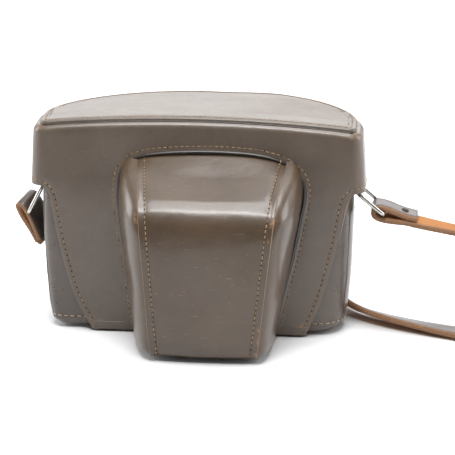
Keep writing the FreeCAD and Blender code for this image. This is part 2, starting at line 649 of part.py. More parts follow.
def lens_glass(y0, y1, sphere_r, centre_y):
    cylinder = rod_y(LENS_X, LENS_Z, 12.9, y0, y1)
    return cylinder.common(Part.makeSphere(sphere_r, vec(LENS_X, centre_y, LENS_Z)))


def focus_ring():
    """Knurled ring with a finger stud at its lower right."""
    ring_body = knurled_y(22.0, 17.28, -37.4, -26.0, 48, 0.55)
    stud = rod_y(LENS_X + 19.8, LENS_Z - 12.6, 2.4, -35.5, -28.0)
    return ring_body.fuse(stud.cut(rod_y(LENS_X, LENS_Z, 20.5, -40, -20)))


def lens_parts():
    barrel = ring_y(LENS_X, LENS_Z, 17.2, 13.0, LENS_FRONT + 4, LENS_REAR)
    barrel = barrel.fuse(ring_y(LENS_X, LENS_Z, 21.0, 17.0, -25.6, -22.5))
    front = ring_y(LENS_X, LENS_Z, 18.6, 13.4, LENS_FRONT, LENS_FRONT + 3.9)
    front = front.fuse(ring_y(LENS_X, LENS_Z, 18.6, 17.28, LENS_FRONT + 3.8, -45.6))
    return {
        "lens_mount": ring_y(LENS_X, LENS_Z, 22.8, 17.4, -22.4, CAM_FRONT), "lens_barrel": barrel,
        "focus_ring": focus_ring(), "aperture_ring": knurled_y(19.6, 17.28, -45.0, -38.0, 40, 0.45),
        "filter_ring": front, "front_element": lens_glass(-48.5, -44.0, 34, -14.5),
        "rear_element": lens_glass(-18.0, -13.0, 30, -43.0), "iris_blades": iris()}


def iris():
    """Ten blades, each a flat sector leaving a ten-sided hole."""
    disc = rod_y(LENS_X, LENS_Z, 12.9, -31.4, -31.0)
    points = []
    for i in range(10):
        angle = 2 * math.pi * i / 10
        points.append(vec(LENS_X + 5.0 * math.cos(angle), -32.0, LENS_Z + 5.0 * math.sin(angle)))
    hole = Part.Face(Part.makePolygon(points + points[:1])).extrude(vec(0, 2, 0))
    return disc.cut(hole)


# ---- controls and film transport ----
def top_knob(x, top):
    """Knurled knob on a shaft through the top plate."""
    knob = knurled(x, KNOB_Y, KNOB_R, CAM_TOP + 0.4, top, 40, 0.4)
    return knob.fuse(rod_z(x, KNOB_Y, 3.0, CAM_SHELL_HIGH - 2, CAM_TOP + 1))


def wind_knob():
    return top_knob(-KNOB_X, KNOB_TOP).cut(rod_z(-KNOB_X, KNOB_Y, 6.6, KNOB_TOP - 0.5, KNOB_TOP + 1))


def rewind_knob():
    """Its top has a slot across it."""
    slot = box(KNOB_X - 7, KNOB_X + 7, KNOB_Y - 0.8, KNOB_Y + 0.8, KNOB_TOP - 2.2, KNOB_TOP)
    return top_knob(KNOB_X, KNOB_TOP - 1.5).cut(slot)


def take_up_spool():
    core = rod_z(-KNOB_X, SPINDLE_Y, 6.5, 13, 61)
    flanges = [rod_z(-KNOB_X, SPINDLE_Y, 10.5, z, z + 1.5) for z in (13, 59.5)]
    slit = box(-KNOB_X - 0.6, -KNOB_X + 0.6, SPINDLE_Y - 8, SPINDLE_Y + 8, 24, 50)
    return core.fuse(flanges).cut(slit)


def film_cassette():
    """Closed can with a film slit and holes for the spool's ends."""
    can = rod_z(KNOB_X, SPINDLE_Y, 12.4, 14.5, 60.5).cut(rod_z(KNOB_X, SPINDLE_Y, 11.8, 15.1, 59.9))
    can = can.cut(rod_z(KNOB_X, SPINDLE_Y, 5.6, 10, 70))
    return can.cut(box(KNOB_X - 14, KNOB_X - 8, 4.6, 5.6, 16, 59))


def sprocket():
    """Shaft with two rows of eight teeth at the film's edges."""
    teeth = []
    for z in (FILM_LOW, FILM_HIGH):
        for i in range(8):
            out = vec(math.cos(math.pi * i / 4), math.sin(math.pi * i / 4), 0)
            teeth.append(Part.makeCylinder(0.7, 1.4, vec(SPROCKET_X, SPROCKET_Y, z) + out * 4.2, out))
    return rod_z(SPROCKET_X, SPROCKET_Y, 4.6, 14, 61).fuse(teeth)


def frame_counter():
    disc = knurled(COUNTER_X, COUNTER_Y, 6.0, CAM_TOP + 0.2, CAM_TOP + 1.6, 24, 0.3)
    return disc.fuse(rod_z(COUNTER_X, COUNTER_Y, 2.8, 74, CAM_TOP + 1))


def shutter_button():
    """Dished button on its plunger."""
    button = rod_z(BUTTON_X, BUTTON_Y, 3.4, CAM_TOP + 1.9, CAM_TOP + 4.4)
    button = button.fuse(rod_z(BUTTON_X, BUTTON_Y, 2.5, 72, CAM_TOP + 3))
    return button.cut(Part.makeSphere(3.6, vec(BUTTON_X, BUTTON_Y, CAM_TOP + 7.3)))


def speed_dial():
    dial = knurled(DIAL_X, DIAL_Y, 6.4, CAM_TOP + 0.3, CAM_TOP + 5.0, 30, 0.35)
    return dial.fuse(rod_z(DIAL_X, DIAL_Y, 2.1, 72, CAM_TOP + 1))


def self_timer_lever():
    """Round boss with a hanging lever."""
    boss = rod_y(TIMER_X, TIMER_Z, 3.4, -21.6, -19.4).fuse(rod_y(TIMER_X, TIMER_Z, 2.5, -19.5, -17.6))
    corners = [(TIMER_X - 2.2, TIMER_FOOT), (TIMER_X + 2.2, TIMER_FOOT),
               (TIMER_X + 1.8, TIMER_Z), (TIMER_X - 1.8, TIMER_Z)]
    outline = rounded_wire(corners, [2.0, 2.0, 0.4, 0.4], in_front_plane(-21.6))
    return boss.fuse(prism(outline, vec(0, 1.6, 0)))


def control_parts():
    spool = rod_z(KNOB_X, SPINDLE_Y, 5.2, 12.6, 65).cut(rod_z(KNOB_X, SPINDLE_Y, 2.4, 60, 66))
    return {"wind_knob": wind_knob(), "rewind_knob": rewind_knob(), "take_up_spool": take_up_spool(),
            "cassette_spool": spool, "film_cassette": film_cassette(), "sprocket": sprocket(),
            "frame_counter": frame_counter(), "shutter_button": shutter_button(), "speed_dial": speed_dial(),
            "self_timer_lever": self_timer_lever()}


def lug(side):
    """A flat eye on the camera's end; the ring's inner side turns in it."""
    sign = 1 if side == "right" else -1
    x = sign * PIVOT_X[side]
    root = sign * LUG_ROOT
    eye = rod_y(x, PIVOT_Z, 1.9, PIVOT_Y - 1.1, PIVOT_Y + 1.1)
    stem = box(min(x, root), max(x, root), PIVOT_Y - 1.1, PIVOT_Y + 1.1, PIVOT_Z - 1.5, PIVOT_Z + 1.5)
    return eye.fuse(stem).cut(rod_y(x, PIVOT_Z, 1.05, PIVOT_Y - 3, PIVOT_Y + 3))


def build():
    parts = {}
    parts.update(cover_parts())
    parts.update(base_parts())
    parts.update(tab_parts())
    parts["retaining_screw"] = retaining_screw()
    for side in ("left", "right"):
        parts["ring_" + side] = ring(side)
        parts["strap_fold_" + side] = fold(side)
        parts["strap_rivet_" + side] = fold_rivet(side)
        parts["strap_lug_" + side] = lug(side)
    parts["strap"] = strap()
    parts.update(camera_body_parts())
    parts.update(finder_parts())
    parts.update(lens_parts())
    parts.update(control_parts())
    os.makedirs("parts", exist_ok=True)
    for name, shape in parts.items():
        if not shape.isValid():
            print("not valid:", name)
        shape.exportStep("parts/" + name + ".step")
    print(len(parts), "nodes")


build()
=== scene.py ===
"""Leather ever-ready case with its strap and the rangefinder camera inside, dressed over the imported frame."""
import json
import math
import random

import bmesh
import bpy
import numpy as np
from mathutils import Matrix, Vector


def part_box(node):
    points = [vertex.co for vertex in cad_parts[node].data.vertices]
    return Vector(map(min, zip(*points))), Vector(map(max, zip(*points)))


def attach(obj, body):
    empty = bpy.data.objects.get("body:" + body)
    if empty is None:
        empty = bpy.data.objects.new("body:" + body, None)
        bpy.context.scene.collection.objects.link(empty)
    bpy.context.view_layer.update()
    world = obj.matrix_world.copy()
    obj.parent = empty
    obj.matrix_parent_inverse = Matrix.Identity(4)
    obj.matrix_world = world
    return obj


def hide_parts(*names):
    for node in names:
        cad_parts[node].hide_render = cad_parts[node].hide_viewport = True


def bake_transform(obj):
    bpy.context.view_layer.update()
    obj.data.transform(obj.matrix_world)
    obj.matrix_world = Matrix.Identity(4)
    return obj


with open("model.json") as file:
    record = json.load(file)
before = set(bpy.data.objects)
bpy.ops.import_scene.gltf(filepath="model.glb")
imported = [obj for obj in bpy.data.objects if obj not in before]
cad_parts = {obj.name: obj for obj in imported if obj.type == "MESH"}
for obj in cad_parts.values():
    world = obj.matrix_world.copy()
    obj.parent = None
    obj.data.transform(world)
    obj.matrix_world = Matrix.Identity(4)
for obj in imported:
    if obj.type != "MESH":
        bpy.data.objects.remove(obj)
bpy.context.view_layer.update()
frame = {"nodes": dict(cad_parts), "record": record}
MM = 0.001
rng = random.Random(7)


# ---- measures read from the frame, in millimetres ----
def box_mm(node):
    low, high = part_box(node)
    return [v / MM for v in low], [v / MM for v in high]


HOOD_LOW, HOOD_HIGH = box_mm("cover_hood")
PANEL_LOW, PANEL_HIGH = box_mm("cover_top_panel")
BASE_LOW, BASE_HIGH = box_mm("base_shell")
CASE_X = (PANEL_LOW[0] + PANEL_HIGH[0]) / 2
FRONT = HOOD_LOW[1]
SKIRT_HALF = (HOOD_HIGH[0] - HOOD_LOW[0]) / 2
HOOD_BACK = HOOD_HIGH[1]
PANEL_HALF = (PANEL_HIGH[0] - PANEL_LOW[0]) / 2
CROWN_TOP = PANEL_HIGH[2]
CROWN_DROP = 3.6
BASE_HALF = (BASE_HIGH[0] - BASE_LOW[0]) / 2
BASE_BACK = BASE_HIGH[1]
BASE_FRONT = BASE_LOW[1]
BASE_BOTTOM = BASE_LOW[2]
BASE_TOP = BASE_HIGH[2]

# ---- outlines of the leather, in millimetres, in the frame ----
# the cover's front edge from the bottom up to the skirt: distance from the middle, height
RIGHT_EDGE = [(49.4, 1.6), (51.2, 2.4), (52.6, 4.6), (57.9, 18.0), (63.4, 39.7), (66.6, 57.0),
              (67.4, 62.0), (68.6, 66.6), (70.6, 69.4)]
LEFT_EDGE = [(47.3, 1.4), (55.3, 17.5), (61.2, 39.4), (64.4, 57.0), (65.0, 61.6), (66.2, 66.0), (68.4, 69.2)]
SKIRT_FRONT_Z = 69.4
SKIRT_SIDE_Z = 67.6
LIP_Z = 82.5
# the nose opening in the cover's front, from its lower left round the top to its lower right
OPENING = [(-25.4, 1.0), (-27.6, 15.0), (-30.0, 31.8), (-31.8, 45.1), (-33.3, 56.8), (-34.0, 68.4),
           (-32.2, 78.4), (-26.0, 83.7), (-14.5, 86.2), (6.1, 87.4), (26.6, 86.6), (40.0, 83.2),
           (47.4, 77.0), (49.4, 68.7), (47.3, 55.6), (43.9, 37.3), (39.1, 17.2), (36.2, 1.0)]
# where the nose's side gussets meet the cover's front
GUSSET_LEFT = [(-25.5, 84.6), (-29.5, 82.4), (-31.9, 77.0), (-32.4, 68.0), (-31.6, 55.0), (-30.2, 42.0),
               (-28.2, 25.0), (-26.4, 10.0), (-25.6, 2.2)]
GUSSET_RIGHT = [(42.0, 84.6), (45.4, 81.8), (47.3, 76.0), (47.7, 68.5), (45.8, 55.0), (42.5, 37.0),
                (39.6, 22.0), (37.4, 9.0), (36.6, 2.2)]
# the nose strip's profile from the cover to the underside: y, z
NOSE_PROFILE = [(-24.0, 85.2), (-34.0, 81.9), (-44.0, 78.0), (-50.6, 75.0), (-55.6, 71.8), (-59.0, 68.0),
                (-61.2, 63.0), (-62.0, 56.0), (-61.9, 40.0), (-61.8, 22.0), (-61.6, 11.0), (-60.6, 5.4),
                (-57.6, 2.4), (-50.0, 1.7), (-38.0, 1.7), (-25.0, 1.8)]
# the strap's route, repeated from the part, with the tilt of its width in degrees
STRAP_ROUTE = [
    (118.0, -6.6, 47.6, -5), (146.0, -12.0, 45.0, -4), (176.0, -19.0, 46.6, 0),
    (212.0, -27.0, 49.6, 0), (226.5, -31.0, 25.6, 0), (212.0, -34.0, 1.4, 0),
    (182.0, -32.6, 1.4, 0), (150.0, -26.6, 1.4, 0), (124.0, -18.0, 1.6, 4),
    (101.0, -10.6, 2.7, 14), (80.0, -0.6, 3.7, 23), (68.0, 10.0, 5.0, 42),
    (61.6, 28.0, 6.8, 68), (61.0, 54.0, 7.2, 88), (60.5, 82.0, 7.2, 90), (38.0, 96.0, 7.2, 90),
    (16.5, 81.0, 7.2, 90), (15.5, 50.0, 7.2, 90), (-6.0, 34.0, 7.2, 90),
    (-27.0, 48.0, 7.2, 90), (-28.0, 74.0, 7.2, 90), (-38.0, 88.0, 7.2, 90),
    (-54.0, 88.0, 7.6, 90), (-64.0, 72.0, 8.8, 88), (-67.5, 46.0, 14.0, 84), (-71.0, 19.0, 25.0, 78)]
STRAP_WIDTH, STRAP_THICK, FOLD_LENGTH = 12.0, 2.5, 14.0
RIGHT_STRETCH, LEFT_STRETCH = 92.0, 86.0        # the lengths of the strap's two end stretches, in millimetres
RING_LENGTH, RING_WIDTH, RING_WIRE = 16.0, 14.6, 1.0
RING_DROP = {"right": 40.0, "left": 63.0}
FOLD_DIRECTION = {"right": (0.970, -0.243), "left": (0.30, -0.954)}
FOLD_WIDE = {"right": (0.0, -1.0, 0.0), "left": (0.42, 0.84, 0.34)}
FOLD_REACH = {"right": 4.8, "left": 5.6}
PIVOT_X = {"right": 72.9, "left": 70.6}
PIVOT_Y, PIVOT_Z = -4.0, 65.8


# ---- small helpers ----
def dense(points, steps=10):
    """A smooth line through the points."""
    pts = [np.array(p, float) for p in points]
    ends = [2 * pts[0] - pts[1]] + pts + [2 * pts[-1] - pts[-2]]
    out = []
    for i in range(len(pts) - 1):
        a, b, c, d = ends[i:i + 4]
        for k in range(steps):
            t = k / steps
            out.append(0.5 * (2 * b + (c - a) * t + (2 * a - 5 * b + 4 * c - d) * t * t
                              + (3 * b - a - 3 * c + d) * t ** 3))
    out.append(pts[-1])
    return np.array(out)


EDGE_STITCH, OPENING_STITCH = 2.4, 2.7          # how far the stitching runs from the leather's edges


PLAN_Z = 80.0                                   # height at which the cover's columns are laid out


CUT_LEFT, CUT_RIGHT, CUT_LOW, CUT_ROUND = -43.0, 47.0, 12.0, 16.0      # the half case's lens cut-out


SLOT_FRONT, SLOT_BACK, SLOT_LOW = -12.0, 4.5, 57.0                     # and its slots for the rings' lugs


STITCH_PROFILE = ((0.10, 0.35, -0.12), (0.20, 0.9, 0.10), (0.50, 1.08, 0.20), (0.80, 0.9, 0.10),
                  (0.90, 0.35, -0.12))          # along one stitch: share of its run, of its radius, lift


def unit(value):
    """A number kept between 0 and 1."""
    return min(max(value, 0.0), 1.0)


def turns(count):
    """Angles evenly round a circle."""
    return [2 * math.pi * k / count for k in range(count)]


def shade(colour, share):
    return tuple(c * share for c in colour)


def travelled(line):
    """How far along a line each of its points is."""
    return np.concatenate([[0], np.cumsum(np.linalg.norm(np.diff(line, axis=0), axis=1))])


def resample(line, count, values=None):
    """Points evenly spaced along a line, or what the values are at those points."""
    line = np.asarray(line, float)
    values = line if values is None else values
    s = travelled(line)
    u = np.linspace(0, s[-1], count)
    return np.stack([np.interp(u, s, column) for column in values.T], 1)


def length_of(line):
    return float(np.linalg.norm(np.diff(np.asarray(line, float), axis=0), axis=1).sum())


def distance_to(line, points):
    """Distance from each 2-D point to a polyline."""
    best = np.full(len(points), 1e9)
    for a, b in zip(line[:-1], line[1:]):
        ab = b - a
        t = np.clip(((points - a) @ ab) / max(ab @ ab, 1e-12), 0, 1)
        best = np.minimum(best, np.linalg.norm(points - (a + t[:, None] * ab), axis=1))
    return best


def nearest_on(line, p):
    best, spot = 1e9, line[0]
    for a, b in zip(line[:-1], line[1:]):
        ab = b - a
        t = min(max(float((p - a) @ ab / max(ab @ ab, 1e-12)), 0), 1)
        q = a + t * ab
        d = float(np.linalg.norm(p - q))
        if d < best:
            best, spot = d, q
    return spot


def inside(polygon, points):
    """Which 2-D points lie inside a closed polygon."""
    result = np.zeros(len(points), bool)
    x, z = points[:, 0], points[:, 1]
    for a, b in zip(polygon, np.roll(polygon, -1, axis=0)):
        crosses = (a[1] > z) != (b[1] > z)
        with np.errstate(divide="ignore", invalid="ignore"):
            at = (b[0] - a[0]) * (z - a[1]) / (b[1] - a[1]) + a[0]
        result ^= crosses & (x < at)
    return result


def wobble(x, y, z, scale, size, seed=0.0):
    """Smooth unevenness of hand-worked leather."""
    k = 1.0 / scale
    return size * (math.sin(k * x * 1.7 + seed) * math.cos(k * z * 1.3 - seed * 2)
                   + 0.6 * math.sin(k * (x * 0.6 + z * 2.1 + y) + seed * 3)) / 1.6


def mesh_object(name, verts, faces, materials, indices=None, attributes=None):
    mesh = bpy.data.meshes.new(name)
    mesh.from_pydata([tuple(float(c) * MM for c in v) for v in verts], [], faces)
    for m in materials:
        mesh.materials.append(m)
    if indices is not None:
        mesh.polygons.foreach_set("material_index", indices)
    mesh.polygons.foreach_set("use_smooth", [True] * len(mesh.polygons))
    for key, values in (attributes or {}).items():
        layer = mesh.attributes.new(key, "FLOAT", "POINT")
        layer.data.foreach_set("value", np.asarray(values, np.float32))
    mesh.validate()
    mesh.update()
    obj = bpy.data.objects.new(name, mesh)
    bpy.context.scene.collection.objects.link(obj)
    return obj


def grid_faces(rows, cols, closed=False):
    faces = []
    for r in range(rows - 1):
        for c in range(cols if closed else cols - 1):
            d = (c + 1) % cols
            faces.append((r * cols + c, r * cols + d, (r + 1) * cols + d, (r + 1) * cols + c))
    return faces


def soften(obj, name, width, degrees, harden):
    """Rounds the edges that are sharper than an angle."""
    bevel = obj.modifiers.new(name, "BEVEL")
    bevel.width = width
    bevel.segments = 2
    bevel.limit_method = "ANGLE"
    bevel.angle_limit = math.radians(degrees)
    bevel.harden_normals = harden


def thicken(obj, thickness):
    """Gives a leather sheet its thickness, inwards, with a cut edge."""
    solid = obj.modifiers.new("Leather thickness", "SOLIDIFY")
    solid.thickness = thickness * MM
    solid.offset = -1.0
    solid.use_even_offset = False
    solid.material_offset_rim = 1
    soften(obj, "Skived edge", 0.35 * MM, 55, False)


def tube(name, line, radius, material, sides=8, closed=False):
    """A round piping along a line."""
    line = np.asarray(line, float)
    count = len(line)
    verts = []
    for i in range(count):
        a = line[(i - 1) % count] if closed or i else line[0]
        b = line[(i + 1) % count] if closed or i < count - 1 else line[-1]
        along = (b - a) / max(np.linalg.norm(b - a), 1e-9)
        side = np.cross(along, [0, -1, 0.0001])
        if np.linalg.norm(side) < 0.2:
            side = np.cross(along, [1, 0, 0])
        side /= np.linalg.norm(side)
        up = np.cross(side, along)
        for t in turns(sides):
            verts.append(line[i] + side * radius * math.cos(t) + up * radius * math.sin(t))
    rows = count + 1 if closed else count
    faces = [tuple(v % len(verts) for v in face) for face in grid_faces(rows, sides, closed=True)]
    if not closed:
        faces.append(tuple(range(sides))[::-1])
        faces.append(tuple(range((count - 1) * sides, count * sides)))
    return outward(mesh_object(name, verts, faces, [material]))


def outward(obj):
    bm = bmesh.new()
    bm.from_mesh(obj.data)
    bmesh.ops.recalc_face_normals(bm, faces=bm.faces)
    bm.to_mesh(obj.data)
    bm.free()
    return obj


# ---- materials ----


class Nodes:
    """A node tree, with short calls that add a node and feed its inputs."""

    def __init__(self, tree):
        self.tree = tree

    def put(self, socket, value):
        """A number, vector or colour is set on the socket; another node's output is linked to it."""
        if isinstance(value, bpy.types.NodeSocket):
            self.tree.links.new(value, socket)
        else:
            socket.default_value = (*value, 1.0) if socket.type == "RGBA" else value

    def node(self, kind, feeds=None, **settings):
        made = self.tree.nodes.new(kind)
        for key, value in settings.items():
            setattr(made, key, value)
        for key, value in (feeds or {}).items():
            self.put(made.inputs[key], value)
        return made

    def span(self, value, low, high, to_low=0.0, to_high=1.0):
        feeds = {"Value": value, "From Min": low, "From Max": high, "To Min": to_low, "To Max": to_high}
        return self.node("ShaderNodeMapRange", feeds).outputs["Result"]

    def maths(self, kind, a, b):
        return self.node("ShaderNodeMath", {0: a, 1: b}, operation=kind).outputs[0]

    def weighted(self, a, share_a, b, share_b):
        return self.maths("ADD", self.maths("MULTIPLY", a, share_a), self.maths("MULTIPLY", b, share_b))

    def mix(self, factor, a, b):
        return self.node("ShaderNodeMix", {0: factor, 6: a, 7: b}, data_type="RGBA").outputs[2]

    def bump(self, height, strength, distance, below=None):
        feeds = {"Height": height, "Strength": strength, "Distance": distance}
        if below is not None:
            feeds["Normal"] = below
        return self.node("ShaderNodeBump", feeds).outputs["Normal"]


class Look(Nodes):
    """A material in the making, textured in the piece's own coordinates."""

    def __init__(self, name):
        self.material = bpy.data.materials.new(name)
        self.material.use_nodes = True
        super().__init__(self.material.node_tree)
        self.shader = next(n for n in self.tree.nodes if n.type == "BSDF_PRINCIPLED")
        self.xyz = self.node("ShaderNodeTexCoord").outputs["Object"]

    def noise(self, scale, detail=4.0, rough=0.55, coords=None):
        feeds = {"Vector": coords or self.xyz, "Scale": scale, "Detail": detail, "Roughness": rough}
        return self.node("ShaderNodeTexNoise", feeds).outputs["Fac"]

    def cells(self, scale):
        feeds = {"Vector": self.xyz, "Scale": scale}
        return self.node("ShaderNodeTexVoronoi", feeds, feature="DISTANCE_TO_EDGE").outputs["Distance"]

    def scratches(self, much):
        """Short fine scratches in two directions."""
        found = []
        for turn, seed in ((0.6, 1.0), (-0.9, 5.0)):
            mapping = self.node("ShaderNodeMapping", {
                "Vector": self.xyz, "Rotation": (0.3 * seed, turn, turn * 0.7),
                "Location": (seed, seed * 2, 0.0), "Scale": (0.11, 1.0, 1.0)})
            fine = self.noise(1500.0, 1.0, 0.4, mapping.outputs["Vector"])
            found.append(self.span(fine, 0.735, 0.80, 0.0, much))
        return self.maths("MAXIMUM", *found)

    def finish(self, **sockets):
        """Feeds the shader's sockets, named with _ for each space."""
        for key, value in sockets.items():
            self.put(self.shader.inputs[key.replace("_", " ")], value)
        return self.material


WORN = (0.26, 0.135, 0.065)                     # the hide where its finish is rubbed off


def leather(name, light, dark, rough=(0.30, 0.46), coat=0.25, grain=0.35, scratched=0.12):
    """Smooth finished cowhide: mottled colour, fine pores, creases, specks, and scuffs where 'wear' says."""
    look = Look(name)
    broad = look.noise(22.0, 5.0)
    middle = look.noise(130.0, 6.0, 0.62)
    fine = look.noise(900.0, 3.0, 0.6)
    colour = look.mix(look.span(look.weighted(broad, 0.6, middle, 0.4), 0.36, 0.66), dark, light)
    colour = look.mix(look.span(fine, 0.35, 0.75, 0.0, 0.16), colour, shade(dark, 0.45))
    colour = look.mix(look.span(look.noise(520.0, 2.0, 0.5), 0.735, 0.775, 0.0, 0.5), colour, WORN)
    wear = look.node("ShaderNodeAttribute", attribute_name="wear").outputs["Fac"]
    patchy = look.span(look.noise(420.0, 6.0, 0.7), 0.38, 0.62)
    scuff = look.span(look.maths("MULTIPLY", wear, patchy), 0.12, 0.5)
    colour = look.mix(scuff, colour, WORN)
    colour = look.mix(look.scratches(scratched), colour, shade(light, 2.6))
    shine = look.span(look.weighted(middle, 0.7, fine, 0.3), 0.3, 0.72, *rough)
    shine = look.maths("ADD", shine, look.maths("MULTIPLY", scuff, 0.25))
    relief = look.bump(look.noise(60.0, 3.0), 0.16, 0.0022)
    relief = look.bump(look.noise(420.0, 5.0, 0.6), 0.20 * grain / 0.35, 0.00025, relief)
    relief = look.bump(look.cells(1500.0), grain * 0.5, 0.00008, relief)
    return look.finish(Base_Color=colour, Roughness=shine, Normal=relief, Coat_Weight=coat,
                       Coat_Roughness=0.16, Specular_IOR_Level=0.5)


def plain(name, light, dark, texture, contrast=(0.3, 0.7), relief=None, **sockets):
    """Colour between dark and light, and relief if there is any, both from one noise."""
    look = Look(name)
    tone = look.noise(*texture)
    if relief:
        sockets["Normal"] = look.bump(tone, *relief)
    return look.finish(Base_Color=look.mix(look.span(tone, *contrast), dark, light), **sockets)


def raw_edge(name, light, dark):
    """The cut, fibrous edge of thick leather."""
    return plain(name, light, dark, (1300.0, 5.0, 0.7), relief=(0.5, 0.00015), Roughness=0.75)


def suede(name, light, dark):
    """The napped flesh side of the strap."""
    look = Look(name)
    nap = look.noise(1600.0, 6.0, 0.75)
    mixed = look.weighted(nap, 0.6, look.noise(90.0), 0.4)
    return look.finish(Base_Color=look.mix(look.span(mixed, 0.34, 0.66), dark, light),
                       Normal=look.bump(nap, 0.55, 0.00025), Roughness=0.92, Specular_IOR_Level=0.15)


def thread_material(name, light, dark):
    look = Look(name)
    feeds = {"Vector": look.xyz, "Scale": 900.0, "Distortion": 1.5}
    ply = look.node("ShaderNodeTexWave", feeds).outputs["Fac"]
    colour = look.mix(look.span(look.noise(160.0, 3.0), 0.35, 0.62), dark, light)
    return look.finish(Base_Color=colour, Normal=look.bump(ply, 0.5, 0.0001), Roughness=0.7)


def metal(name, colour, rough, brushed=0.0, worn=0.12):
    """Plated or satin metal with faint scratches and tarnish."""
    look = Look(name)
    tarnish = look.span(look.noise(260.0, 6.0, 0.65), 0.45, 0.8, 0.0, worn)
    shine = look.span(look.noise(900.0), 0.3, 0.7, rough * 0.75, rough * 1.35)
    scratch = look.noise(2200.0 if brushed else 700.0, 3.0)
    return look.finish(Base_Color=look.mix(tarnish, colour, shade(colour, 0.45)), Roughness=shine,
                       Metallic=1.0, Normal=look.bump(scratch, 0.12 + brushed, 0.00004))


def paint(name, colour, rough=0.35):
    look = Look(name)
    tone = look.span(look.noise(150.0), 0.3, 0.7, 0.0, 0.35)
    shine = look.span(look.noise(800.0), 0.3, 0.7, rough * 0.8, rough * 1.25)
    return look.finish(Base_Color=look.mix(tone, colour, tuple(c * 1.8 + 0.004 for c in colour)),
                       Roughness=shine, Normal=look.bump(look.noise(1500.0), 0.08, 0.00005))


def pebbled(name, colour):
    """Black pressed covering of the camera body, with painted shade darkening the valleys between its pebbles.
    """
    look = Look(name)
    cell = look.cells(780.0)
    relief = look.bump(look.span(cell, 0.0, 0.22), 0.8, 0.0002)
    # painted shade: the colour darkens towards each pebble's edge, down in the valleys where the relief sinks
    return look.finish(Base_Color=look.mix(look.span(cell, 0.0, 0.25, 0.35, 1.0), shade(colour, 0.3), colour),
                       Normal=relief, Roughness=0.48)


COVER = leather("cover_leather", (0.108, 0.079, 0.058), (0.077, 0.056, 0.041))
HOLE_BLACK, VELVET_RED, LENS_TINT = (0.012, 0.007, 0.005), (0.24, 0.045, 0.040), (0.030, 0.022, 0.050)
# darker and warmer than the cover's leather: partly the nose's own colour, partly painted shade standing in for
# the dark reflections on its front
NOSE = leather("nose_leather", (0.080, 0.051, 0.030), (0.051, 0.032, 0.018), rough=(0.28, 0.42), coat=0.3,
               scratched=0.6)
TOP = leather("top_leather", (0.100, 0.076, 0.056), (0.074, 0.056, 0.042), rough=(0.34, 0.46), coat=0.2,
              grain=0.25)
CASE = leather("case_leather", (0.076, 0.055, 0.041), (0.052, 0.038, 0.028), rough=(0.24, 0.38), coat=0.4)
WELT = leather("welt_leather", (0.024, 0.015, 0.011), (0.012, 0.008, 0.006), rough=(0.3, 0.45), coat=0.2)
EDGE = raw_edge("case_edge", (0.270, 0.180, 0.115), (0.130, 0.082, 0.050))
TAN_EDGE = raw_edge("strap_edge", (0.290, 0.150, 0.072), (0.130, 0.064, 0.031))
FLESH = suede("strap_flesh", (0.39, 0.178, 0.072), (0.27, 0.116, 0.043))
GRAIN = leather("strap_grain", (0.084, 0.062, 0.050), (0.050, 0.036, 0.029), rough=(0.34, 0.5),
                coat=0.2, grain=0.6)
THREAD = thread_material("thread", (0.34, 0.220, 0.108), (0.17, 0.105, 0.050))
PALE_THREAD = thread_material("pale_thread", (0.55, 0.43, 0.30), (0.33, 0.24, 0.16))
# near black: painted shade for the hollows of the needle holes; the strap's rivets are given the same material
HOLE = plain("needle_holes", HOLE_BLACK, shade(HOLE_BLACK, 0.4), (700.0,), (0.3, 0.7, 0.5, 1.3),
             Roughness=0.8)
NICKEL = metal("nickel", (0.50, 0.49, 0.455), 0.20, worn=0.3)
SATIN = metal("satin_chrome", (0.64, 0.64, 0.62), 0.34, 0.25)
PLATED = metal("shiny_chrome", (0.72, 0.72, 0.71), 0.16)
ALLOY = metal("body_alloy", (0.30, 0.30, 0.31), 0.45, 0.2)
BLACK = paint("black_enamel", (0.014, 0.014, 0.014))
CAN = paint("cassette_can", (0.30, 0.24, 0.10), 0.4)
SKIN = pebbled("body_leatherette", (0.022, 0.021, 0.020))
VELVET = plain("lining_cloth", VELVET_RED, shade(VELVET_RED, 0.45), (1900.0, 4.0, 0.7),
               relief=(0.5, 0.0003), Roughness=0.95, Sheen_Weight=0.6)
LENS = plain("lens_glass", shade(LENS_TINT, 0.8), LENS_TINT, (60.0,), (0.3, 0.7, 0.0, 0.4), Roughness=0.04,
             Coat_Weight=0.6, Coat_Roughness=0.03)


# ---- the walls' outlines ----
def level_at(table, z):
    """Half length, front, back, end of the sides and corner radius at a height."""
    heights = [row[0] for row in table]
    return [float(np.interp(z, heights, [row[k] for row in table])) for k in range(1, 6)]


HOOD_LEVELS = [(67.0, SKIRT_HALF, FRONT, HOOD_BACK, -1.0, 6.0), (84.0, 74.8, FRONT, 26.6, -4.5, 6.0),
               (95.0, 74.0, FRONT, 26.2, -7.5, 6.0), (101.0, 73.0, FRONT + 0.3, 25.8, -8.0, 6.0)]
BASE_LEVELS = [(2.0, BASE_HALF - 5.6, BASE_FRONT + 1.2, 20.6, -4.0, 10.0),
               (4.5, 67.3, -22.6, 22.4, -4.0, 10.0),
               (12.0, 68.7, -22.9, 23.0, -4.0, 10.0), (27.0, 69.9, -23.0, 23.2, -4.0, 10.0),
               (57.0, BASE_HALF, -23.0, BASE_BACK, -4.0, 10.0), (86.0, 70.2, -23.0, 23.2, -4.0, 10.0)]
BASE_CORNER = {1: 13.0, -1: 5.5}


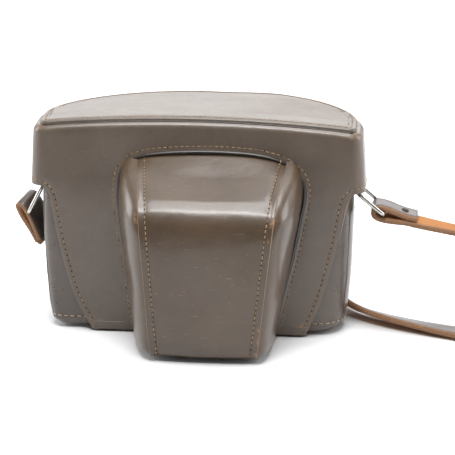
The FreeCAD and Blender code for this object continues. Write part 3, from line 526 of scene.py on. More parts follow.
def place(column, level, inset=0.0, limit=62.0, reach=70.0, corners=None):
    """A column's point on the outline at one level: columns are ('front', x), ('corner', side, t)..."""
    half, front, back, side_end, corner = level
    half, front, back = half - inset, front + inset, back - inset
    kind = column[0]
    if kind == "back":
        t = column[1] * math.pi
        return CASE_X + half * math.cos(t), side_end + (back - side_end) * math.sin(t)
    side = column[1] if kind != "front" else (1 if column[1] > 0 else -1)
    corner = max((corners[side] if corners else corner) - inset, 1.0)
    if kind == "front":
        x = column[1]
        if abs(x) > limit:
            share = (abs(x) - limit) / (reach - limit)
            x = side * (limit + share * (side * CASE_X + half - corner - limit))
        return x, front
    if kind == "corner":
        t = column[2] * math.pi / 2
        return CASE_X + side * (half - corner + corner * math.sin(t)), front + corner - corner * math.cos(t)
    y = front + corner + (side_end - front - corner) * column[2]
    return CASE_X + side * half, y


def base_place(column, z, inset=0.0):
    """The same on the half case, whose right front corner is rounder than its left."""
    return place(column, level_at(BASE_LEVELS, z), inset, 40.0, 66.0, BASE_CORNER)


def loop_columns(fine_from=44.0, corner_limit=70.0):
    """Columns all the way round, closer together where the front's edges run."""
    xs = list(np.arange(-fine_from, fine_from + 0.01, 1.6))
    step = 0.65
    edge = list(np.arange(fine_from + step, corner_limit, step))
    xs = [-x for x in reversed(edge)] + xs + edge
    columns = [("front", float(x)) for x in xs]
    columns += [("corner", 1, t) for t in np.linspace(0, 1, 10)]
    columns += [("side", 1, t) for t in np.linspace(0.08, 1, 14)]
    columns += [("back", t) for t in np.linspace(0, 1, 90)[1:-1]]
    columns += [("side", -1, t) for t in np.linspace(1, 0.08, 14)]
    columns += [("corner", -1, t) for t in np.linspace(1, 0, 10)]
    return columns


RIGHT_LINE = dense(RIGHT_EDGE)
LEFT_LINE = dense(LEFT_EDGE)
OPENING_LINE = dense(OPENING, 12)
CROWN_R = (PANEL_HALF ** 2 + CROWN_DROP ** 2) / (2 * CROWN_DROP)


def crown(x):
    return CROWN_TOP - CROWN_R + math.sqrt(CROWN_R ** 2 - (x - CASE_X) ** 2)


def on_panel(x):
    """x kept within the top panel."""
    return min(max(x, CASE_X - PANEL_HALF), CASE_X + PANEL_HALF)


def rear_lift(x, y):
    """The top's right rear stands a little higher than its front."""
    return 1.5 * unit((x - 12.0) / 24.0) * unit((y + 12.0) / 24.0)


def hood_low(column):
    """Height of the cover's lower edge at a column."""
    x, y = place(column, level_at(HOOD_LEVELS, PLAN_Z))
    if column[0] == "front":
        line = RIGHT_LINE if x > 0 else LEFT_LINE
        reach = abs(x)
        if reach < line[0][0]:
            return line[0][1]
        return float(np.interp(reach, line[:, 0], line[:, 1]))
    if column[0] == "corner":
        return SKIRT_FRONT_Z + 0.3 * column[2]
    rise = unit((y + 3.0) / 15.0)
    base = SKIRT_FRONT_Z + 0.3 - (SKIRT_FRONT_Z + 0.3 - SKIRT_SIDE_Z) * unit((y - FRONT) / 14.0)
    return base + (LIP_Z - base) * rise * rise * (3 - 2 * rise)


# ---- the cover ----
def front_shape(points):
    """How far the cover's front stands out at each (x, z): a rolled lip round the nose, sunk stitch lines."""
    out = np.zeros(len(points))
    d = distance_to(OPENING_LINE, points)
    out += 0.8 * np.exp(-(d / 1.7) ** 2)
    out -= 0.16 * np.exp(-((d - OPENING_STITCH) / 0.6) ** 2)
    for line, sign in ((RIGHT_LINE, 1), (LEFT_LINE, -1)):
        e = distance_to(line * np.array([sign, 1]), points)
        out -= 0.16 * np.exp(-((e - EDGE_STITCH) / 0.6) ** 2)
        out -= 0.25 * np.exp(-(e / 0.7) ** 2)
    out += 0.5 * np.exp(-((points[:, 1] - 60) / 30) ** 2) * np.exp(-((np.abs(points[:, 0]) - 56) / 9) ** 2)
    return out


def cover_shell():
    columns = loop_columns()
    rows, shoulder = 58, 10
    plan = level_at(HOOD_LEVELS, PLAN_Z)
    lows = [hood_low(c) for c in columns]
    tops = [crown(on_panel(place(c, plan)[0])) - 5.0 for c in columns]
    verts = []
    for r in range(rows + shoulder):
        for c, low, top in zip(columns, lows, tops):
            if r < rows:
                z = low + (top - low) * r / (rows - 1)
                inset = 0.0
            else:
                t = (r - rows + 1) / shoulder * math.pi / 2
                z = top + 3.2 * math.sin(t)
                inset = 2.6 * (1 - math.cos(t))
            x, y = place(c, level_at(HOOD_LEVELS, z), inset)
            verts.append([x, y, z + rear_lift(x, y) * max(z - 90.0, 0.0) / 12.0])
    verts = np.array(verts)
    flat = np.array([c[0] == "front" for c in columns] * (rows + shoulder))
    flat_xz = verts[flat][:, [0, 2]]
    verts[flat, 1] -= front_shape(flat_xz)
    for v in verts:
        v[1] += wobble(v[0], 0.0, v[2], 13.0, 0.16, 1.0) if v[1] < 0 else 0.0
        v[0] += wobble(v[1], 0.0, v[2], 11.0, 0.18, 2.0) * (1 if abs(v[0]) > 70 else 0)
    hole = np.zeros(len(verts), bool)
    hole[flat] = inside(np.vstack([OPENING_LINE, [[36, -3], [-25, -3]]]), flat_xz)
    faces = grid_faces(rows + shoulder, len(columns), closed=True)
    faces = [f for f in faces if not all(hole[i] for i in f)]
    used = sorted({i for f in faces for i in f})
    for i in used:
        if hole[i]:
            verts[i, 0], verts[i, 2] = nearest_on(OPENING_LINE, verts[i, [0, 2]])
            verts[i, 1] = FRONT - 0.9
    order = {old: new for new, old in enumerate(used)}
    faces = [tuple(order[i] for i in f) for f in faces]
    obj = mesh_object("cover_shell", verts[used], faces, [COVER, EDGE],
                      attributes={"wear": hood_wear(verts)[used]})
    thicken(obj, 1.9)
    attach(obj, "cover")
    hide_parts("cover_hood")


def hood_wear(verts):
    """Rubbed spots: the shoulder's ends and the skirt's corners."""
    wear = np.zeros(len(verts))
    for x, y, z, size, much in ((72, -20, 99, 7, 0.5), (-72, -20, 99, 7, 0.45), (75, -14, 70, 4, 0.5),
                                (-75, -12, 70, 4, 0.5), (50, -25, 3, 6, 0.5), (-46, -25, 3, 5, 0.5)):
        d = np.linalg.norm(verts - np.array([x, y, z]), axis=1)
        wear = np.maximum(wear, much * np.exp(-(d / size) ** 2))
    return wear


def top_panel():
    level = (PANEL_HALF + 1.6, FRONT + 0.5, 25.2, -8.0, 5.0)
    columns = loop_columns()

    def around(inset, drop):
        plan = [place(c, level, inset) for c in columns]
        return [(x, y, crown(on_panel(x)) + drop + rear_lift(x, y)) for x, y in plan]

    steps = [(3.2, -2.6), (2.3, -2.2), (1.75, -1.7), (1.6, -1.1), (1.8, -0.55), (2.2, -0.2),
             (2.7, -0.04), (3.2, -0.06), (3.6, -0.16), (4.0, -0.18), (4.6, -0.06), (5.6, 0.04)]
    verts = [v for inset, drop in steps for v in around(inset, drop)]
    rim_points = verts[-len(columns):]
    for k in np.linspace(0.06, 1.0, 24):
        for x, rim_y, _ in rim_points:
            y = rim_y * (1 - k) + 0.5 * k
            verts.append((x, y, crown(x) + 0.04 + 0.10 * math.sin(x * 0.09) * k + rear_lift(x, y)
                          + wobble(x, y, y, 9, 0.07, 3)))
    faces = grid_faces(len(steps) + 24, len(columns), closed=True)
    obj = mesh_object("top_panel_leather", verts, faces, [TOP])
    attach(obj, "cover")
    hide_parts("cover_top_panel")
    line = around(3.8, -0.2)
    stitches("top_panel_stitching", line + line[:1], [(0, 0, 1)], "cover", 2.4, radius=0.15)
    welt = tube("top_edge_welt", around(2.1, -2.0), 0.6, WELT, 8, closed=True)
    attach(welt, "cover")
    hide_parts("top_welt")


# ---- stitching ----
def stitches(name, line, normals, body, pitch, thread=THREAD, radius=0.20):
    """A row of single threads between needle holes, along a line on the leather; each hole is a near-black disc
    of painted shade.
    """
    line = np.asarray(line, float)
    normals = np.asarray(normals, float)
    if len(normals) == 1:
        normals = np.repeat(normals, len(line), axis=0)
    count = max(2, int(length_of(line) / pitch))
    points = resample(line, count * 4 + 1)
    outs = resample(line, count * 4 + 1, normals)
    one_thread = grid_faces(len(STITCH_PROFILE), 6, closed=True)
    verts, faces, which = [], [], []
    for i in range(count):
        first, last = points[i * 4], points[i * 4 + 4]
        n = outs[i * 4 + 2] / np.linalg.norm(outs[i * 4 + 2])
        along = last - first
        along /= max(np.linalg.norm(along), 1e-9)
        side = np.cross(along, n)
        shift = rng.uniform(-0.10, 0.10)
        start = len(verts)
        for t, r, lift in STITCH_PROFILE:
            centre = first + (last - first) * t + n * lift + side * shift * (t - 0.5) * 2
            verts += [centre + (side * math.cos(a) + n * math.sin(a)) * radius * r for a in turns(6)]
        faces += [tuple(start + v for v in face) for face in one_thread]
        which += [0] * len(one_thread)
        # a near-black disc on the leather at each needle hole: painted shade of the hole's hollow
        start = len(verts)
        for a in turns(8):
            verts.append(first + n * 0.06 + (side * math.cos(a) * 0.85 + along * math.sin(a)) * 0.44)
        faces.append(tuple(range(start, start + 8)))
        which.append(1)
    obj = outward(mesh_object(name, verts, faces, [thread, HOLE], which))
    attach(obj, body)


def offset_line(line, distance):
    """A 2-D line moved sideways, to its left along its run when distance is positive."""
    line = np.asarray(line, float)
    tangent = np.gradient(line, axis=0)
    tangent /= np.linalg.norm(tangent, axis=1)[:, None]
    return line + np.stack([-tangent[:, 1], tangent[:, 0]], 1) * distance


def front_y(points):
    """The y of the cover's front leather at each (x, z)."""
    fronts = np.array([level_at(HOOD_LEVELS, z)[1] for z in points[:, 1]])
    wave = np.array([wobble(x, 0.0, z, 13.0, 0.16, 1.0) for x, z in points])
    return fronts - front_shape(points) + wave


def on_front(points):
    points = np.asarray(points, float)
    return np.stack([points[:, 0], front_y(points), points[:, 1]], 1)


def skirt_edge_line(side):
    """The line of stitching just above the skirt's lower edge, round the corner and along the side."""
    points = []
    columns = [("corner", side, t) for t in np.linspace(0, 1, 8)]
    columns += [("side", side, t) for t in np.linspace(0.1, 1, 12)]
    columns += [("back", t if side > 0 else 1 - t) for t in np.linspace(0.02, 0.5, 50)]
    for c in columns:
        z = hood_low(c) + EDGE_STITCH
        points.append((*place(c, level_at(HOOD_LEVELS, z)), z))
    return points


def cover_stitching():
    opening = offset_line(OPENING_LINE, OPENING_STITCH)
    opening = opening[opening[:, 1] > 4]
    stitches("nose_opening_stitching", on_front(opening), [(0, -1, 0)], "cover", 2.55)
    for side, line, name in ((1, RIGHT_LINE, "right"), (-1, LEFT_LINE, "left")):
        inner = offset_line(line * np.array([side, 1]), EDGE_STITCH * side)
        path = on_front(inner[inner[:, 1] > 3])
        skirt = np.array(skirt_edge_line(side))[1:]
        normals = np.vstack([np.repeat([[0, -1, 0]], len(path), 0), skirt_normals(skirt)])
        stitches("cover_edge_stitching_" + name, np.vstack([path, skirt]), normals, "cover", 2.65)


def skirt_normals(points):
    """Level directions square to a line round the case, away from its middle."""
    tangent = np.gradient(points, axis=0)
    out = np.stack([-tangent[:, 1], tangent[:, 0], np.zeros(len(points))], 1)
    out /= np.maximum(np.linalg.norm(out, axis=1), 1e-9)[:, None]
    return out * np.sign((out * points).sum(1))[:, None]


# ---- the nose ----
def strip_sides(y, z):
    """The strip's left and right edges at a place on its profile."""
    if z > 66.5:
        t = (y + 24.4) / (-61.8 + 24.4)
        return -25.5 + 4.3 * t, 42.0 - 4.3 * t
    if y < -56:
        t = (66.5 - z) / 62.0
        return -21.2 + 4.7 * t, 37.7 - 6.6 * t
    t = (y + 61.0) / 36.0
    return -16.5 - 1.5 * t, 31.1 + 1.9 * t


def opening_top(x):
    """Height of the opening's upper edge at x."""
    upper = OPENING_LINE[OPENING_LINE[:, 1] > 76.0]
    return float(np.interp(x, upper[:, 0], upper[:, 1]))


def profile_frames(count=96):
    line = resample(dense(NOSE_PROFILE, 10), count)
    tangent = np.gradient(line, axis=0)
    tangent /= np.linalg.norm(tangent, axis=1)[:, None]
    normal = np.stack([tangent[:, 1], -tangent[:, 0]], 1)
    return line, -normal if normal[10][1] < 0 else normal


def nose_strip():
    line, normal = profile_frames()
    across = 44
    verts = []
    for p, n in zip(line, normal):
        left, right = strip_sides(p[0], p[1])
        for k in range(across):
            s = k / (across - 1)
            x = left + (right - left) * s
            edge = min(s, 1 - s) * (right - left)
            lift = 0.55 * math.sin(math.pi * s) * (1.0 if p[0] > -60 else 1.1)
            lift += 0.35 * math.exp(-(edge / 1.0) ** 2)
            lift -= 0.22 * math.exp(-((edge - 3.0) / 0.9) ** 2)
            lift += wobble(x, p[0] * 0.6, p[1], 10.0, 0.28, 0.6)
            top_sag = -0.9 * math.exp(-((p[0] + 42) / 12) ** 2) * math.sin(math.pi * s) if p[1] > 74 else 0.0
            rear = max(0.0, 1.0 - (line[0][0] - p[0]) / 15.0) if p[1] > 70 else 0.0
            rise = (opening_top(x) + 0.3 - line[0][1]) * rear ** 1.3
            swell = lift + top_sag
            verts.append((x, p[0] + n[0] * swell * (1 - rear), p[1] + n[1] * swell * (1 - rear) + rise))
    verts = np.array(verts)
    wear = nose_wear(verts)
    faces = grid_faces(len(line), across)
    obj = mesh_object("nose_strip", verts, faces, [NOSE, EDGE], attributes={"wear": wear})
    flip_if_needed(obj, Vector((0.008, -0.04, 0.04)))
    thicken(obj, 1.5)
    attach(obj, "cover")
    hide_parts("nose_front_strip")
    for side in ("left", "right"):
        path = []
        for p, n in zip(line, normal):
            left, right = strip_sides(p[0], p[1])
            x = left + 3.0 if side == "left" else right - 3.0
            path.append((x, p[0] + n[0] * 0.12, p[1] + n[1] * 0.12))
        normals = [(0, n[0], n[1]) for n in normal]
        keep = slice(1, 80)
        stitches("nose_stitching_" + side, path[keep], normals[keep], "cover", 2.35)


def nose_wear(verts):
    """Scuffs on the nose: its upper right corner, lower right edge and the top."""
    wear = np.zeros(len(verts))
    spots = ((37.4, -61.0, 67.0, 1.5, 0.9), (35.4, -61.8, 59.0, 0.9, 0.6), (31.8, -61.5, 12.0, 1.3, 0.8),
             (32.0, -61.5, 18.0, 1.1, 0.6), (31.2, -60.0, 5.0, 1.5, 0.8), (35.6, -61.6, 47.0, 0.8, 0.6),
             (-20.6, -61.0, 67.5, 0.9, 0.6), (-16.6, -60.0, 5.0, 1.2, 0.5), (-3.0, -61.8, 57.0, 0.8, 0.5))
    for x, y, z, size, much in spots:
        d = np.linalg.norm((verts - np.array([x, y, z])) / np.array([1, 1.4, 1.7]), axis=1)
        wear = np.maximum(wear, much * np.exp(-(d / size) ** 2))
    return wear


def flip_if_needed(obj, centre):
    """Faces look away from the centre."""
    total = 0.0
    for poly in list(obj.data.polygons)[::7]:
        total += (poly.center - centre).dot(poly.normal) * poly.area
    if total < 0:
        obj.data.flip_normals()
    return obj


def gusset(side):
    """A side of the nose: from the strip's seam round to the cover's front."""
    line, normal = profile_frames()
    sign = 1 if side == "right" else -1
    outline = dense(GUSSET_RIGHT if side == "right" else GUSSET_LEFT, 12)
    lengths = travelled(line)
    corner_at = float(lengths[np.argmin(np.abs(line[:, 0] + 60.6) + (line[:, 1] < 60) * 99)])
    foot_at = float(lengths[np.argmin(np.abs(line[:, 1] - 4.0) + (line[:, 0] > -56) * 99)])
    around = resample(outline, 200)
    verts, wear = [], []
    across = 26
    for i, (p, n) in enumerate(zip(line, normal)):
        s = lengths[i]
        if s < corner_at:
            share = 0.22 * s / corner_at
        elif s < foot_at:
            share = 0.22 + 0.74 * (s - corner_at) / (foot_at - corner_at)
        else:
            share = 0.96 + 0.04 * (s - foot_at) / (lengths[-1] - foot_at)
        b = around[min(199, int(round(share * 199)))]
        left, right = strip_sides(p[0], p[1])
        seam_x = right - 0.4 if side == "right" else left + 0.4
        a = np.array([seam_x, p[0] - n[0] * 0.5, p[1] - n[1] * 0.5])
        end = np.array([b[0] + sign * 1.0, FRONT + 0.6, b[1] + (0.6 if b[1] > 78 else 0.0)])
        reach = float(np.linalg.norm(end - a))
        out = min(6.4, 0.34 * reach)
        one = a + np.array([sign * out, 0.02 * reach, 0])
        two = end + np.array([sign * 0.4, -0.55 * abs(end[1] - a[1]), 0])
        for k in range(across):
            t = k / (across - 1)
            v = a * (1 - t) ** 3 + one * 3 * t * (1 - t) ** 2 + two * 3 * t * t * (1 - t) + end * t ** 3
            v[0] += wobble(v[1], 0, v[2], 7.0, 0.35, 4.0 if sign > 0 else 5.0) * math.sin(math.pi * t)
            verts.append(v)
            wear.append(0.42 * math.exp(-((t - 0.08) / 0.06) ** 2) * math.exp(-((v[2] - 66) / 5) ** 2))
    obj = mesh_object("nose_gusset_" + side, verts, grid_faces(len(line), across), [NOSE, EDGE],
                      attributes={"wear": wear})
    flip_if_needed(obj, Vector((0.008, -0.04, 0.04)))
    thicken(obj, 1.4)
    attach(obj, "cover")
    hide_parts("nose_side_" + side)


def opening_welt():
    line = resample(offset_line(OPENING_LINE, 0.2), 150)
    path = [(x, FRONT - 0.9, z) for x, z in line]
    welt = tube("nose_opening_welt", path, 0.95, WELT, 10)
    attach(welt, "cover")
    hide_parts("nose_welt")


def bottom_hinge():
    """The cover's leather bending under the case's front edge."""
    xs = np.linspace(-47.0, 51.2, 60)
    profile = [(-25.1, 5.0), (-25.05, 2.6), (-24.4, 1.0), (-23.2, 0.25), (-21.6, 0.1), (-19.0, 0.1)]
    line = resample(dense(profile, 6), 18)
    verts = [(x, y, z) for y, z in line for x in xs]
    obj = mesh_object("bottom_hinge_leather", verts, grid_faces(18, 60), [COVER, EDGE])
    flip_if_needed(obj, Vector((0.0, 0.0, 0.06)))
    thicken(obj, 1.2)
    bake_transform(obj)


# ---- the half case ----
def base_top(column, x, y):
    """Height of the half case's upper edge: lens cut-out, lug slots, high back."""
    if column[0] == "front":
        edge = min(x - CUT_LEFT, CUT_RIGHT - x)
        if edge <= 0:
            return 70.0
        if edge > CUT_ROUND:
            return CUT_LOW
        corner = CUT_ROUND - math.sqrt(max(CUT_ROUND ** 2 - (CUT_ROUND - edge) ** 2, 0))
        return CUT_LOW + corner * (58.0 / CUT_ROUND if edge < 1 else 1.0)
    if abs(x) > 60 and SLOT_FRONT < y < SLOT_BACK:
        edge = min(y - SLOT_FRONT, SLOT_BACK - y)
        corner = 4 - math.sqrt(max(16 - (4 - min(edge, 4)) ** 2, 0))
        return SLOT_LOW + corner * (2.75 if edge < 0.4 else 1.0)
    if column[0] in ("corner", "side"):
        return 68.0
    share = unit((69.0 - abs(x - CASE_X)) / 5.0)
    return 68.0 + (BASE_TOP - 68.0) * share * share * (3 - 2 * share)


def half_case():
    columns = loop_columns(fine_from=38.0, corner_limit=66.0)
    verts = []
    rings = 7
    for r in range(rings):
        share = r / rings
        for c in columns:
            x, y = base_place(c, BASE_BOTTOM)
            d = math.hypot(x, y)
            k = share + (1 - share) * 10.3 / d
            verts.append((x * k, y * k, BASE_BOTTOM))
    rows = 44
    for r in range(rows):
        for c in columns:
            x0, y0 = base_place(c, 50.0)
            top = base_top(c, x0, y0)
            t = r / (rows - 1)
            z = BASE_BOTTOM + (top - BASE_BOTTOM) * (t ** 1.35)
            x, y = base_place(c, z)
            swell = wobble(x, y, z, 12.0, 0.16, 6.0)
            d = math.hypot(x, y)
            verts.append((x * (1 + swell / d), y * (1 + swell / d), z))
    faces = grid_faces(rings + rows, len(columns), closed=True)
    obj = mesh_object("half_case_leather", verts, faces, [CASE, EDGE])
    flip_if_needed(obj, Vector((0, 0, 0.04)))
    thicken(obj, 1.9)
    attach(obj, "case_base")
    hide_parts("base_shell")
    base_details(columns)


def base_details(columns):
    low = [(*base_place(c, 6.2, -0.05), 6.2) for c in columns]
    low.append(low[0])
    stitches("half_case_foot_stitching", low, skirt_normals(np.array(low)), "case_base", 3.0, PALE_THREAD)
    for side, name in ((1, "right"), (-1, "left")):
        seam = [(*base_place(("corner", side, 0.66), z, 0.25), z) for z in np.linspace(3.0, 66.0, 40)]
        rib = tube("half_case_seam_" + name, seam, 0.42, WELT, 6)
        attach(rib, "case_base")


# ---- the strap ----
def fold_frame(side):
    """The fold's run away from the ring, the way its tab lies, and the way its width runs."""
    wide = np.array(FOLD_WIDE[side])
    wide /= np.linalg.norm(wide)
    x, z = FOLD_DIRECTION[side]
    along = np.array([x, 0.0, z])
    along -= wide * float(along @ wide)
    along /= np.linalg.norm(along)
    return along, np.cross(wide, along), wide


def ring(side):
    """The bent-wire ring between the case's lug and the strap."""
    centre = np.array([(1 if side == "right" else -1) * PIVOT_X[side], PIVOT_Y, PIVOT_Z])
    out = ring_bar(side) - centre
    out /= np.linalg.norm(out)
    half, bend = RING_WIDTH / 2, 2.2
    path = []
    for u, v, start in ((RING_LENGTH - bend, half - bend, 0), (bend, half - bend, 1), (bend, bend - half, 2),
                        (RING_LENGTH - bend, bend - half, 3)):
        for k in range(7):
            t = math.radians(90 * start + 15 * k)
            path.append(centre + out * (u + bend * math.cos(t)) + np.array([0, v + bend * math.sin(t), 0]))
    path.append(path[0])
    wire = tube("ring_wire_" + side, resample(path, 72)[:-1], RING_WIRE, NICKEL, 12, closed=True)
    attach(wire, "ring_" + side)
    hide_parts("ring_" + side)


def ring_bar(side):
    drop = math.radians(RING_DROP[side])
    sign = 1 if side == "right" else -1
    return np.array([sign * (PIVOT_X[side] + RING_LENGTH * math.cos(drop)), PIVOT_Y,
                     PIVOT_Z - RING_LENGTH * math.sin(drop)])


def band(name, path, widths, thick=STRAP_THICK):
    """A flat strap: flesh on its +normal side, grain on the other, tan cut edges."""
    last = len(path) - 1
    w, t = STRAP_WIDTH / 2, thick / 2
    r = 0.45
    section = [(-w + r, -t), (-w * 0.5, -t - 0.04), (0, -t - 0.05), (w * 0.5, -t - 0.04), (w - r, -t),
               (w, -t + r), (w, t - r), (w - r, t), (w * 0.5, t), (0, t), (-w * 0.5, t), (-w + r, t),
               (-w, t - r), (-w, -t + r)]
    kinds = [1, 1, 1, 1, 2, 2, 2, 0, 0, 0, 0, 2, 2, 2]
    verts = []
    for i, p in enumerate(path):
        along = path[min(i + 1, last)] - path[max(i - 1, 0)]
        along = along / np.linalg.norm(along)
        wide = widths[i] - along * float(widths[i] @ along)
        wide /= np.linalg.norm(wide)
        normal = np.cross(along, wide)
        for u, v in section:
            ripple = 0.05 * math.sin(i * 1.9 + u) if abs(u) > w - 0.1 else 0.0
            verts.append(p + wide * (u + ripple) + normal * v)
    m = len(section)
    faces = grid_faces(last + 1, m, closed=True)
    faces += [tuple(range(m)), tuple(range(last * m, last * m + m))]
    return outward(mesh_object(name, verts, faces, [FLESH, GRAIN, TAN_EDGE], kinds * last + [2, 2]))


def strap_line():
    """The strap's centre line, smooth through its route, and the direction of its width."""
    ends = []
    for side in ("right", "left"):
        along, up, _ = fold_frame(side)
        ends.append(ring_bar(side) + along * FOLD_LENGTH - up * (STRAP_THICK / 2))
    route = [(*ends[0], 0.0)] + list(STRAP_ROUTE) + [(*ends[1], 90.0)]
    curve = bpy.data.curves.new("strap_route", "CURVE")
    curve.dimensions = "3D"
    spline = curve.splines.new("NURBS")
    spline.points.add(len(route) - 1)
    for point, (x, y, z, tilt) in zip(spline.points, route):
        point.co = (x * MM, y * MM, z * MM, 1.0)
    spline.order_u = 3
    spline.use_endpoint_u = True
    spline.resolution_u = 14
    holder = bpy.data.objects.new("strap_route", curve)
    bpy.context.scene.collection.objects.link(holder)
    bpy.context.view_layer.update()
    mesh = bpy.data.meshes.new_from_object(holder)
    line = np.array([v.co for v in mesh.vertices]) / MM
    bpy.data.objects.remove(holder)
    bpy.data.meshes.remove(mesh)
    line = resample(line, 420)
    stops = np.array([r[:3] for r in route])
    tilts = np.array([r[3] for r in route])
    at = [float(np.argmin(np.linalg.norm(line - s, axis=1))) for s in stops]
    tilt = np.interp(np.arange(len(line)), at, tilts)
    return line, strap_widths(line, tilt)


def strap_widths(line, tilt):
    level = np.array([0.0, 1.0, 0.0])
    widths = []
    last = len(line) - 1
    for i in range(len(line)):
        along = line[min(i + 1, last)] - line[max(i - 1, 0)]
        along /= np.linalg.norm(along)
        flat = np.array([-along[1], along[0], 0.0])
        if np.linalg.norm(flat) < 0.5:
            level = level - along * float(level @ along)
        else:
            flat /= np.linalg.norm(flat)
            level = flat if float(flat @ level) > 0 else -flat
        level = level / np.linalg.norm(level)
        rise = np.cross(level, along)
        a = math.radians(tilt[i])
        wide = level * math.cos(a) - rise * math.sin(a)
        widths.append(wide)
    end = 26
    for i in range(end):
        share = (i / end) ** 2
        k = last - end + 1 + i
        mixed = widths[k] * (1 - share) + fold_frame("left")[2] * share
        widths[k] = mixed / np.linalg.norm(mixed)
    return np.array(widths)


def strap():
    """Three stretches of one strap: the ends are fixed where they lie, and the middle stays with the case."""
    line, widths = strap_line()
    step = length_of(line) / (len(line) - 1)
    right_end, left_start = int(RIGHT_STRETCH / step), len(line) - 1 - int(LEFT_STRETCH / step)
    stretches = {"right": (0, right_end), "middle": (right_end, left_start),
                 "left": (left_start, len(line) - 1)}
    folds = {side: strap_fold(side) for side in ("right", "left")}
    for name, (first, last) in stretches.items():
        path = line[first:last + 1]
        obj = band("strap_" + name, path, widths[first:last + 1])
        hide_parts("strap")
        if name == "middle":
            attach(obj, "case_base")
        else:
            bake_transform(obj)


def strap_fold(side):
    """The strap's end in a loose loop round the ring's bar, doubled back as a riveted tab."""
    along, up, wide = fold_frame(side)
    centre = ring_bar(side)
    half, reach = STRAP_THICK / 2, FOLD_REACH[side]
    outline = [(FOLD_LENGTH + 0.3, -half), (10.5, -1.5), (7.0, -2.1), (3.0, -2.7), (-1.0, -2.9),
               (-reach + 0.9, -2.1), (-reach, 0.0), (-reach + 0.8, 1.8), (-1.5, 2.4), (2.0, 2.3),
               (6.0, 1.7), (10.0, half + 0.1),
               (FOLD_LENGTH + 1.2, half + 0.1)]
    slack = 1.0 if side == "right" else 0.8
    path = np.array([centre + along * a + up * b * slack for a, b in dense(outline, 6)])
    obj = band("strap_fold_leather_" + side, path, np.repeat([wide], len(path), 0), thick=STRAP_THICK - 0.1)
    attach(obj, "ring_" + side)
    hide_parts("strap_fold_" + side)
    return obj


# ---- carried-over pieces ----
SLOT_LOOK = {
    "cover_leather": COVER, "top_leather": TOP, "case_leather": CASE, "welt_leather": WELT,
    "lining_cloth": VELVET, "strap_leather": FLESH, "nickel": NICKEL, "black_paint": BLACK,
    "satin_chrome": SATIN, "body_alloy": ALLOY, "body_leatherette": SKIN, "black_trim": BLACK,
    "pressure_steel": ALLOY, "cassette_can": CAN, "lens_glass": LENS}
NODE_LOOK = {"strap_rivet_left": HOLE, "strap_rivet_right": HOLE, "top_plate": SATIN, "lens_barrel": PLATED,
             "accessory_shoe": PLATED, "shutter_button": PLATED}


def dress_nodes():
    slots = {s["node"]: s["material_slot"] for s in frame["record"]["subparts"]}
    for name, obj in frame["nodes"].items():
        obj.data.materials.clear()
        obj.data.materials.append(NODE_LOOK.get(name, SLOT_LOOK[slots[name]]))
        obj.modifiers.new("Weld", "WELD").merge_threshold = 0.000004
        soften(obj, "Soft edges", 0.00016, 40, True)


# ---- stage ----
def sheet(name, size, place_m, material):
    """A flat piece of the set."""
    bpy.ops.mesh.primitive_plane_add(size=size, location=place_m)
    obj = bpy.context.object
    obj.name = name
    obj.data.materials.append(material)
    return obj


def stage():
    paper = plain("floor", (0.80, 0.805, 0.81), (0.76, 0.765, 0.775), (1.5,), Roughness=0.55)
    floor = sheet("floor", 6.0, (0, 0, -0.0002), paper)


def black_flag():
    """A dark cloth on the floor in front of the set, out of the picture, that the leather's front mirrors."""
    cloth = plain("flag_cloth", (0.09, 0.086, 0.08), (0.05, 0.048, 0.045), (3.0,), Roughness=0.9)
    flag = sheet("black_flag", 1.0, (0.0, -1.0, 0.0004), cloth)
    flag.scale = (3.2, 1.5, 1.0)
    flag.visible_camera = False
    flag.visible_diffuse = False
    flag.visible_shadow = False
    flag.visible_transmission = False


def area_light(name, place_m, aim, size, power, size_y):
    data = bpy.data.lights.new(name, "AREA")
    data.energy = power
    data.shape = "RECTANGLE"
    data.size = size
    data.size_y = size_y
    obj = bpy.data.objects.new(name, data)
    bpy.context.scene.collection.objects.link(obj)
    obj.location = place_m
    obj.rotation_euler = (Vector(aim) - Vector(place_m)).to_track_quat("-Z", "Y").to_euler()
    obj.visible_camera = False


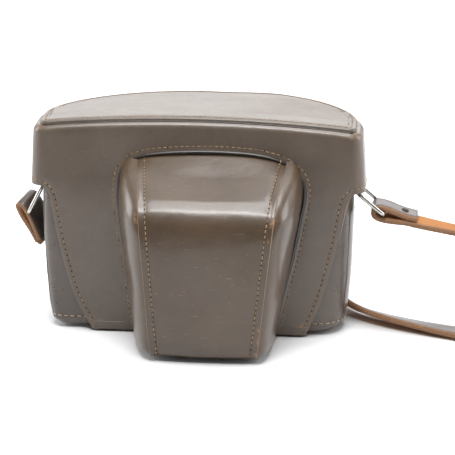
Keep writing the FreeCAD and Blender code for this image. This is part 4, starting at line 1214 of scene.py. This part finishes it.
def lighting():
    """White to the camera; round the object a sky, dim in front and brighter behind, and six softboxes."""
    world = bpy.data.worlds.new("studio")
    bpy.context.scene.world = world
    world.use_nodes = True
    sky = Nodes(world.node_tree)
    sky.tree.nodes.clear()
    seen = sky.node("ShaderNodeBackground", {0: (1, 1, 1), 1: 1.0})
    heading = sky.node("ShaderNodeSeparateXYZ", {0: sky.node("ShaderNodeTexCoord").outputs["Generated"]})
    strength = sky.span(heading.outputs["Y"], -0.7, 0.25, 0.20, 0.70)
    lit = sky.node("ShaderNodeBackground", {0: (0.97, 0.985, 1), 1: strength})
    ray = sky.node("ShaderNodeLightPath").outputs["Is Camera Ray"]
    mix = sky.node("ShaderNodeMixShader", {0: ray, 1: lit.outputs[0], 2: seen.outputs[0]})
    sky.node("ShaderNodeOutputWorld", {0: mix.outputs[0]})
    area_light("top_softbox", (0.05, -0.06, 0.95), (0, -0.02, 0.05), 0.8, 8.0, 0.4)
    area_light("back_softbox", (0.0, 1.25, 0.62), (0, 0, 0.08), 1.5, 7.0, 0.7)
    area_light("upper_back_softbox", (0.0, 0.50, 0.85), (0, -0.03, 0.07), 0.8, 1.0, 0.35)
    area_light("edge_softbox", (0.02, -0.42, 0.80), (0, -0.05, 0.07), 0.5, 5.0, 0.14)
    area_light("left_softbox", (-1.1, 0.15, 0.45), (0, 0, 0.06), 0.6, 8.5, 0.8)
    area_light("right_softbox", (1.1, 0.10, 0.45), (0, 0, 0.06), 0.6, 8.0, 0.8)


def camera():
    """The viewing angle: 4.5 degrees from the right, 19 degrees above, from one metre, with a long lens."""
    azimuth, elevation, distance, roll = math.radians(4.5), math.radians(19.0), 1.0, math.radians(-0.26)
    target = Vector((0.01348, -0.005, 0.04531))
    back = Vector((math.sin(azimuth) * math.cos(elevation), -math.cos(azimuth) * math.cos(elevation),
                   math.sin(elevation)))
    data = bpy.data.cameras.new("camera")
    data.lens = 171.9
    data.sensor_width = 36.0
    obj = bpy.data.objects.new("camera", data)
    bpy.context.scene.collection.objects.link(obj)
    obj.location = target + back * distance
    turn = (-back).to_track_quat("-Z", "Y").to_matrix().to_4x4()
    obj.rotation_euler = (turn @ Matrix.Rotation(-roll, 4, "Z")).to_euler()
    bpy.context.scene.camera = obj


camera()
lighting()
stage()
black_flag()
dress_nodes()
strap()
ring("right")
ring("left")
cover_shell()
top_panel()
cover_stitching()
nose_strip()
gusset("left")
gusset("right")
opening_welt()
bottom_hinge()
half_case()
bpy.context.scene.view_settings.view_transform = "Standard"
